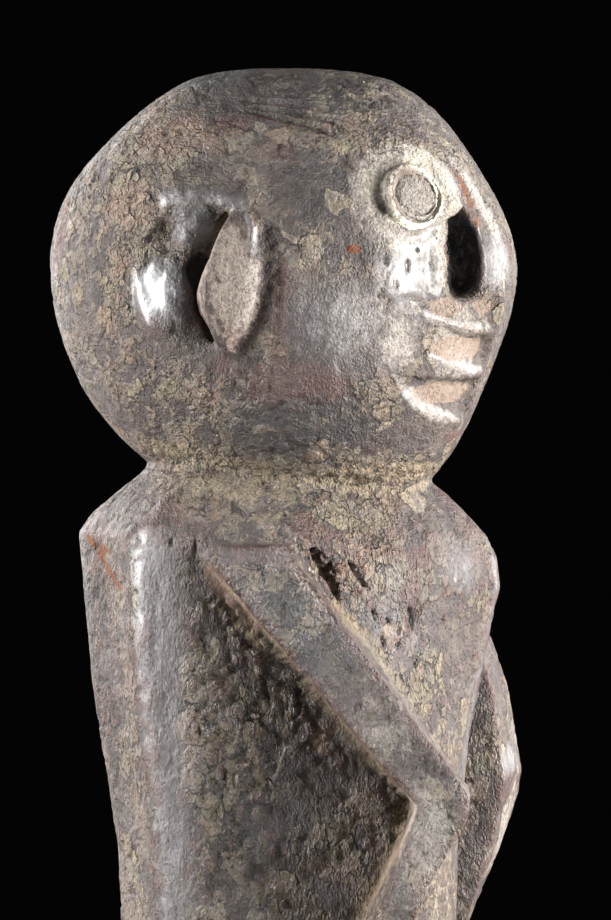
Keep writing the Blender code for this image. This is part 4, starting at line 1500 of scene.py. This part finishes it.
@dataclass
class Crust:
    """The relief of the crust and of the carver's blade, as a tree of Geometry Nodes."""

    swell_depth: float = 0.7
    facet_depth: float = 0.45
    lump_depth: float = 0.5
    flake_depth: float = 0.35
    torn_depth: float = 1.1
    seed: float = 4.0
    swell_scale: float = 0.055
    facet_scale: float = 0.085
    lump_scale: float = 0.33
    flake_scale: float = 0.26
    fibre_scale: float = 0.5

    def sizes(self) -> dict[str, float]:
        """The sizes by the names of the tree's inputs.

        Returns:
            The sizes, in the order of the inputs.
        """
        return {
            "Swell Depth": self.swell_depth,
            "Facet Depth": self.facet_depth,
            "Lump Depth": self.lump_depth,
            "Flake Depth": self.flake_depth,
            "Torn Depth": self.torn_depth,
            "Seed": self.seed,
        }

    def tree(self) -> bpy.types.NodeTree:
        """The tree, with named inputs for the depth of each kind of relief.

        Returns:
            The tree.
        """
        tree = bpy.data.node_groups.new("crust_relief", "GeometryNodeTree")
        face = tree.interface
        face.new_socket("Geometry", in_out="INPUT", socket_type="NodeSocketGeometry")
        for name in self.sizes():
            face.new_socket(name, in_out="INPUT", socket_type="NodeSocketFloat")
        face.new_socket("Crust", in_out="INPUT", socket_type="NodeSocketMaterial")
        face.new_socket("Geometry", in_out="OUTPUT", socket_type="NodeSocketGeometry")
        g = Graph(tree)
        given = g.add("NodeGroupInput").outputs
        result = g.add("NodeGroupOutput")
        place = g.scaled(g.add("GeometryNodeInputPosition").outputs[0], 1 / MM)
        place = g.vector("ADD", place, given["Seed"])
        kept = {
            name: g.add("GeometryNodeInputNamedAttribute", {"Name": name}, data_type="FLOAT").outputs["Attribute"]
            for name in ("calm", "torn", "rest")
        }
        calm, rough, level = kept["calm"], kept["torn"], kept["rest"]
        swell = g.math("SUBTRACT", g.noise(place, self.swell_scale, 1.0, 0.5), 0.5)
        swell = g.math("MULTIPLY", swell, given["Swell Depth"])
        facet = g.cells(g.drift(place, 0.08, 5.0), self.facet_scale, "SMOOTH_F1").outputs["Distance"]
        facet = g.math("MULTIPLY", g.math("SUBTRACT", facet, 0.5), given["Facet Depth"])
        lump = g.math("SUBTRACT", g.noise(place, self.lump_scale, 3.0, 0.55), 0.5)
        lump = g.math("MULTIPLY", lump, given["Lump Depth"])
        lump = g.math("MULTIPLY", lump, g.math("SUBTRACT", 1.0, g.math("MULTIPLY", calm, 0.6)))
        edge = g.cells(g.drift(place, 0.4, 2.4), self.flake_scale, "DISTANCE_TO_EDGE").outputs["Distance"]
        patchy = g.spread(g.noise(place, 0.16, 2.0, 0.5), 0.46, 0.58)
        flake = g.math("MULTIPLY", g.math("SUBTRACT", g.spread(edge, 0.0, 0.18), 1.0), patchy)
        flake = g.math("MULTIPLY", flake, g.math("MULTIPLY", given["Flake Depth"], g.math("SUBTRACT", 1.0, calm)))
        rift = g.math("SUBTRACT", g.spread(edge, 0.0, 0.2), 1.0)
        rift = g.math("MULTIPLY", rift, g.math("MULTIPLY", rough, 0.8))
        fibre = g.noise(g.vector("MULTIPLY", place, (1.0, 1.0, 0.5)), self.fibre_scale, 4.0, 0.65)
        fibre = g.math("MULTIPLY", g.math("SUBTRACT", fibre, 0.56), g.math("MULTIPLY", rough, given["Torn Depth"]))
        broken = g.math("ADD", flake, g.math("ADD", rift, fibre))
        total = g.math("ADD", g.math("ADD", swell, facet), g.math("ADD", lump, broken))
        total = g.math("MULTIPLY", total, g.math("MULTIPLY", level, MM))
        push = g.scaled(g.add("GeometryNodeInputNormal").outputs[0], total)
        moved = g.add("GeometryNodeSetPosition", {"Geometry": given["Geometry"], "Offset": push})
        real = g.add("GeometryNodeRealizeInstances", {0: moved.outputs[0]})
        dressed = g.add("GeometryNodeSetMaterial", {"Geometry": real.outputs[0], "Material": given["Crust"]})
        tree.links.new(dressed.outputs[0], result.inputs[0])
        return tree


@dataclass
class Statuette:
    """The whole carving, which is one block of wood."""

    voxel: float = 0.6
    quick_voxel: float = 1.0
    edge_rounds: int = 6
    soft_rounds: int = 200
    fine_rounds: int = 6
    broad_rounds: int = 60
    worn_height: float = 0.16
    hollow_depth: float = 1.1
    calm_ground: float = 3.0
    flat_ground: float = 0.6
    underside: float = 1.0
    neck: float = 269.5
    most_triangles: int = 196000
    seen_to_x: float = 12.0
    seen_from_z: float = 158.0
    least_kept: float = 0.42
    crust: Crust = field(default_factory=Crust)
    parts: tuple[Any, ...] = (Head(), Ear(), Face(), Trunk(), Arm(), Lower())

    def marks(self) -> Iterable[Mark]:
        """Every mark of every part."""
        for part in self.parts:
            yield from part.marks()

    def evaluated(self, carving: bpy.types.Object) -> None:
        """Turns the object's modifiers into its mesh.

        Args:
            carving: The object, whose mesh changes.
        """
        bpy.context.view_layer.update()
        graph = bpy.context.evaluated_depsgraph_get()
        mesh = bpy.data.meshes.new_from_object(carving.evaluated_get(graph))
        carving.modifiers.clear()
        carving.data = mesh

    def start(self, node: bpy.types.Object) -> bpy.types.Object:
        """An even fine mesh over the solid of the frame.

        Args:
            node: The frame's solid.

        Returns:
            The new object.
        """
        bm = bmesh.new()
        bm.from_mesh(node.data)
        bmesh.ops.remove_doubles(bm, verts=bm.verts, dist=1e-6)
        mesh = bpy.data.meshes.new("carving")
        bm.to_mesh(mesh)
        bm.free()
        carving = bpy.data.objects.new("carving", mesh)
        bpy.context.scene.collection.objects.link(carving)
        even = carving.modifiers.new("even", "REMESH")
        even.mode = "VOXEL"
        even.voxel_size = self.voxel * MM
        even.adaptivity = 0.0
        self.evaluated(carving)
        return carving

    def carve(self, carving: bpy.types.Object) -> None:
        """Wears the edges and cuts the grooves and splits.

        Args:
            carving: The object, whose mesh changes.
        """
        surface = Surface(carving.data)
        points = surface.averaged(surface.points, self.edge_rounds)
        soft, push = np.zeros(len(points)), np.zeros(len(points))
        zones = {zone: np.zeros(len(points)) for zone in (Zone.POLISH, Zone.EVEN, Zone.TORN)}
        for mark in self.marks():
            if not (mark.push or mark.soften or mark.zone in zones):
                continue
            share = mark.share(points)
            push += mark.push * share
            soft = np.maximum(soft, mark.soften * share)
            if mark.zone in zones:
                zones[mark.zone] = np.maximum(zones[mark.zone], mark.strength * share)
        points += (surface.rounded(points, soft > 0, self.soft_rounds) - points) * soft[:, None]
        points += surface.normals * push[:, None]
        carving.data.vertices.foreach_set("co", (points * MM).astype(np.float32).ravel())
        ground = np.clip(points[:, 2] / self.calm_ground, 0.0, 1.0)
        calm = np.clip(np.maximum(zones[Zone.POLISH], zones[Zone.EVEN]), 0.0, 1.0)
        for name, values in (("calm", calm), ("torn", zones[Zone.TORN]), ("rest", ground)):
            self.paint(carving.data, name, values)
        carving.data.update()

    def paint(self, mesh: bpy.types.Mesh, name: str, values: np.ndarray) -> None:
        """Keeps one value for each point under a name."""
        layer = mesh.attributes.get(name) or mesh.attributes.new(name, "FLOAT", "POINT")
        layer.data.foreach_set("value", values.astype(np.float32))

    def roughen(self, carving: bpy.types.Object, crust: bpy.types.Material) -> None:
        """Gives the carving its relief by Geometry Nodes.

        Args:
            carving: The object.
            crust: The material of the crust.
        """
        relief = carving.modifiers.new("relief", "NODES")
        relief.node_group = self.crust.tree()
        sizes = {**self.crust.sizes(), "Crust": crust}
        for item in relief.node_group.interface.items_tree:
            if item.name in sizes and item.in_out == "INPUT":
                relief[item.identifier] = sizes[item.name]
        self.evaluated(carving)

    def half(self, carving: bpy.types.Object, name: str, upper: bool) -> bpy.types.Object:
        """The part of the carving above or below the neck, closed and thinned.

        Args:
            carving: The whole carving.
            name: The new piece's name.
            upper: Whether it is the part above.

        Returns:
            The new piece.
        """
        bm = bmesh.new()
        bm.from_mesh(carving.data)
        geometry = bm.verts[:] + bm.edges[:] + bm.faces[:]
        level = Vector((0, 0, self.neck * MM))
        cut = bmesh.ops.bisect_plane(
            bm, geom=geometry, dist=1e-7, plane_co=level, plane_no=(0, 0, 1), clear_inner=upper, clear_outer=not upper
        )
        rim = [part for part in cut["geom_cut"] if isinstance(part, bmesh.types.BMEdge)]
        lid = bmesh.ops.contextual_create(bm, geom=rim)["faces"]
        bm.normal_update()
        bmesh.ops.recalc_face_normals(bm, faces=bm.faces)
        for face in lid:
            for edge in face.edges:
                edge.smooth = False
        mesh = bpy.data.meshes.new(name)
        bm.to_mesh(mesh)
        bm.free()
        for material in carving.data.materials:
            mesh.materials.append(material)
        piece = bpy.data.objects.new(name, mesh)
        bpy.context.scene.collection.objects.link(piece)
        self.thin(piece)
        return piece

    def thin(self, piece: bpy.types.Object) -> None:
        """Thins a piece to the most triangles allowed, more where it is out of sight.

        Args:
            piece: The piece, whose rim at the neck stays as it is.
        """
        for everywhere in (False, True):
            triangles = sum(len(face.vertices) - 2 for face in piece.data.polygons)
            if triangles <= self.most_triangles:
                return
            surface = Surface(piece.data)
            x, _, z = surface.points.T
            held = np.abs(z - self.neck) < 0.02
            seen = (x < self.seen_to_x) & (z > self.seen_from_z)
            keep = held if everywhere else held | seen
            group = piece.vertex_groups.new(name="free")
            group.add(np.flatnonzero(~keep).tolist(), 1.0, "REPLACE")
            thin = piece.modifiers.new("thin", "DECIMATE")
            thin.vertex_group = "free"
            thin.vertex_group_factor = 0.0
            thin.ratio = max(self.most_triangles / triangles, 0.0 if everywhere else self.least_kept)
            self.evaluated(piece)
            piece.vertex_groups.clear()

    def weather(self, carving: bpy.types.Object, low: Vector, high: Vector) -> None:
        """Keeps the carving in its box and paints where it is worn, dusty or coloured.

        Args:
            carving: The object.
            low: The lowest corner of the solid's box, in metres.
            high: Its highest corner.
        """
        mesh = carving.data
        surface = Surface(mesh)
        points = np.clip(surface.points, np.array(low) / MM, np.array(high) / MM)
        flat = surface.points[:, 2] < self.flat_ground
        points[flat, 2] = 0.0
        mesh.vertices.foreach_set("co", (points * MM).astype(np.float32).ravel())
        mesh.update()
        surface.points = points
        fine = surface.averaged(surface.bulge(self.fine_rounds), 1)
        broad = surface.averaged(surface.bulge(self.broad_rounds), 3)
        self.paint(mesh, "worn", np.clip(fine / self.worn_height, 0.0, 1.0))
        self.paint(mesh, "hollow", np.clip(-broad / self.hollow_depth, 0.0, 1.0))
        for zone in Zone:
            total = np.zeros(len(points))
            for mark in self.marks():
                if mark.zone is zone:
                    total = np.maximum(total, mark.strength * mark.share(points))
            self.paint(mesh, zone.value, total)

    def dress(self, carving: bpy.types.Object, bare: bpy.types.Material) -> None:
        """Shades the mesh smoothly and gives the underside its own finish.

        Args:
            carving: The object.
            bare: The underside's material.
        """
        mesh = carving.data
        mesh.materials.append(bare)
        count = len(mesh.polygons)
        centres, normals = np.empty(count * 3, np.float32), np.empty(count * 3, np.float32)
        mesh.polygons.foreach_get("center", centres)
        mesh.polygons.foreach_get("normal", normals)
        under = (centres[2::3] < self.underside * MM) & (normals[2::3] < -0.8)
        mesh.polygons.foreach_set("material_index", under.astype(np.int32))
        mesh.polygons.foreach_set("use_smooth", np.ones(count, bool))
        mesh.update()

    def finish(self, piece: bpy.types.Object) -> None:
        """Puts a piece in the place of the frame's solid.

        Args:
            piece: The piece.
        """
        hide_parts("statuette")
        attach(piece, "root")

    def build(self, effects: Effects) -> list[bpy.types.Object]:
        """Builds the head and the body in place of the frame's solid.

        Args:
            effects: The shared effects.

        Returns:
            The finished pieces.
        """
        low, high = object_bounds()
        bare = BareWoodFinish().material(effects)
        carving = self.start(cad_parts["statuette"])
        log.info("even mesh: %d faces", len(carving.data.polygons))
        self.carve(carving)
        log.info("carved")
        self.roughen(carving, CrustFinish().material(effects))
        log.info("roughened")
        pieces = [self.half(carving, "head", True), self.half(carving, "body", False)]
        log.info("halved and thinned")
        bpy.data.objects.remove(carving)
        for piece in pieces:
            self.weather(piece, low, high)
            self.dress(piece, bare)
            self.finish(piece)
        return pieces


# ------------------------------------------------------------------------- the studio


@dataclass(frozen=True)
class SoftBox:
    """One soft light that faces the figure."""

    name: str
    towards: Place
    distance: float
    size: tuple[float, float]
    power: float


@dataclass
class Studio:
    """The floor, the soft lights and the camera."""

    floor_radius: float = 0.85
    floor_sides: int = 96
    aim: Place = (0.00055, -0.00416, 0.2709)
    azimuth: float = -82.5
    elevation: float = 3.0
    camera_distance: float = 1.1
    lens: float = 189.0
    sensor: float = 36.0
    nearest: float = 0.01
    spread: float = 110.0
    room: tuple[float, float, float, float] = (0.0012, 0.0012, 0.0014, 1.0)
    lights: tuple[SoftBox, ...] = (
        SoftBox("front_side", (-0.20, -0.97, 0.08), 0.62, (0.26, 0.55), 11.5),
        SoftBox("back_side", (-0.26, 0.95, 0.16), 0.62, (0.26, 0.5), 7.6),
        SoftBox("over_camera", (-0.80, -0.05, 0.60), 1.3, (0.5, 0.5), 0.95),
        SoftBox("far_front", (0.75, -0.62, 0.25), 1.0, (0.5, 0.8), 3.6),
        SoftBox("far_back", (0.70, 0.66, 0.25), 1.0, (0.5, 0.8), 3.6),
    )

    def floor(self) -> None:
        """A round sheet of pale paper under the figure."""
        bm = bmesh.new()
        bmesh.ops.create_circle(bm, cap_ends=True, radius=self.floor_radius, segments=self.floor_sides)
        mesh = bpy.data.meshes.new("floor")
        bm.to_mesh(mesh)
        bm.free()
        mesh.materials.append(FloorFinish().material())
        sheet = bpy.data.objects.new("floor", mesh)
        bpy.context.scene.collection.objects.link(sheet)
        sheet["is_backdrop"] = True

    def placed(self, data: bpy.types.ID, direction: Vector, distance: float) -> bpy.types.Object:
        """Puts a light or a camera where it faces the figure.

        Args:
            data: The light's or the camera's data.
            direction: Which way it lies from the figure, one unit long.
            distance: How far off it is.

        Returns:
            The new object, under the data's name.
        """
        made = bpy.data.objects.new(data.name, data)
        made.location = Vector(self.aim) + direction * distance
        made.rotation_euler = direction.to_track_quat("Z", "Y").to_euler()
        bpy.context.scene.collection.objects.link(made)
        return made

    def light(self, box: SoftBox) -> None:
        """Hangs one soft light.

        Args:
            box: The light.
        """
        data = bpy.data.lights.new(box.name, "AREA")
        data.shape = "RECTANGLE"
        data.size, data.size_y = box.size
        data.energy = box.power
        data.spread = math.radians(self.spread)
        self.placed(data, Vector(box.towards).normalized(), box.distance)

    def camera(self) -> None:
        """Sets the camera up at the figure's right side, as the photograph was taken."""
        a, e = math.radians(self.azimuth), math.radians(self.elevation)
        towards = Vector((math.sin(a) * math.cos(e), -math.cos(a) * math.cos(e), math.sin(e)))
        data = bpy.data.cameras.new("camera")
        data.lens = self.lens
        data.sensor_width = self.sensor
        data.clip_start = self.nearest
        bpy.context.scene.camera = self.placed(data, towards, self.camera_distance)

    def build(self) -> None:
        """Sets up the floor, the lights, the camera and the dark room round them."""
        self.floor()
        for box in self.lights:
            self.light(box)
        self.camera()
        scene = bpy.context.scene
        scene.world = scene.world or bpy.data.worlds.new("dark_room")
        scene.world.use_nodes = True
        back = scene.world.node_tree.nodes["Background"]
        back.inputs["Color"].default_value = self.room
        scene.view_settings.view_transform = "Standard"


def main() -> None:
    """Builds everything in order."""
    logging.basicConfig(level=logging.INFO, format="%(relativeCreated)d ms %(message)s", stream=sys.stdout)
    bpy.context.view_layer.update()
    for piece in Statuette().build(Effects()):
        log.info("%s: %d faces", piece.name, len(piece.data.polygons))
    Studio().build()
    log.info("studio: floor, lights and camera")


if __name__ == "__main__":
    main()
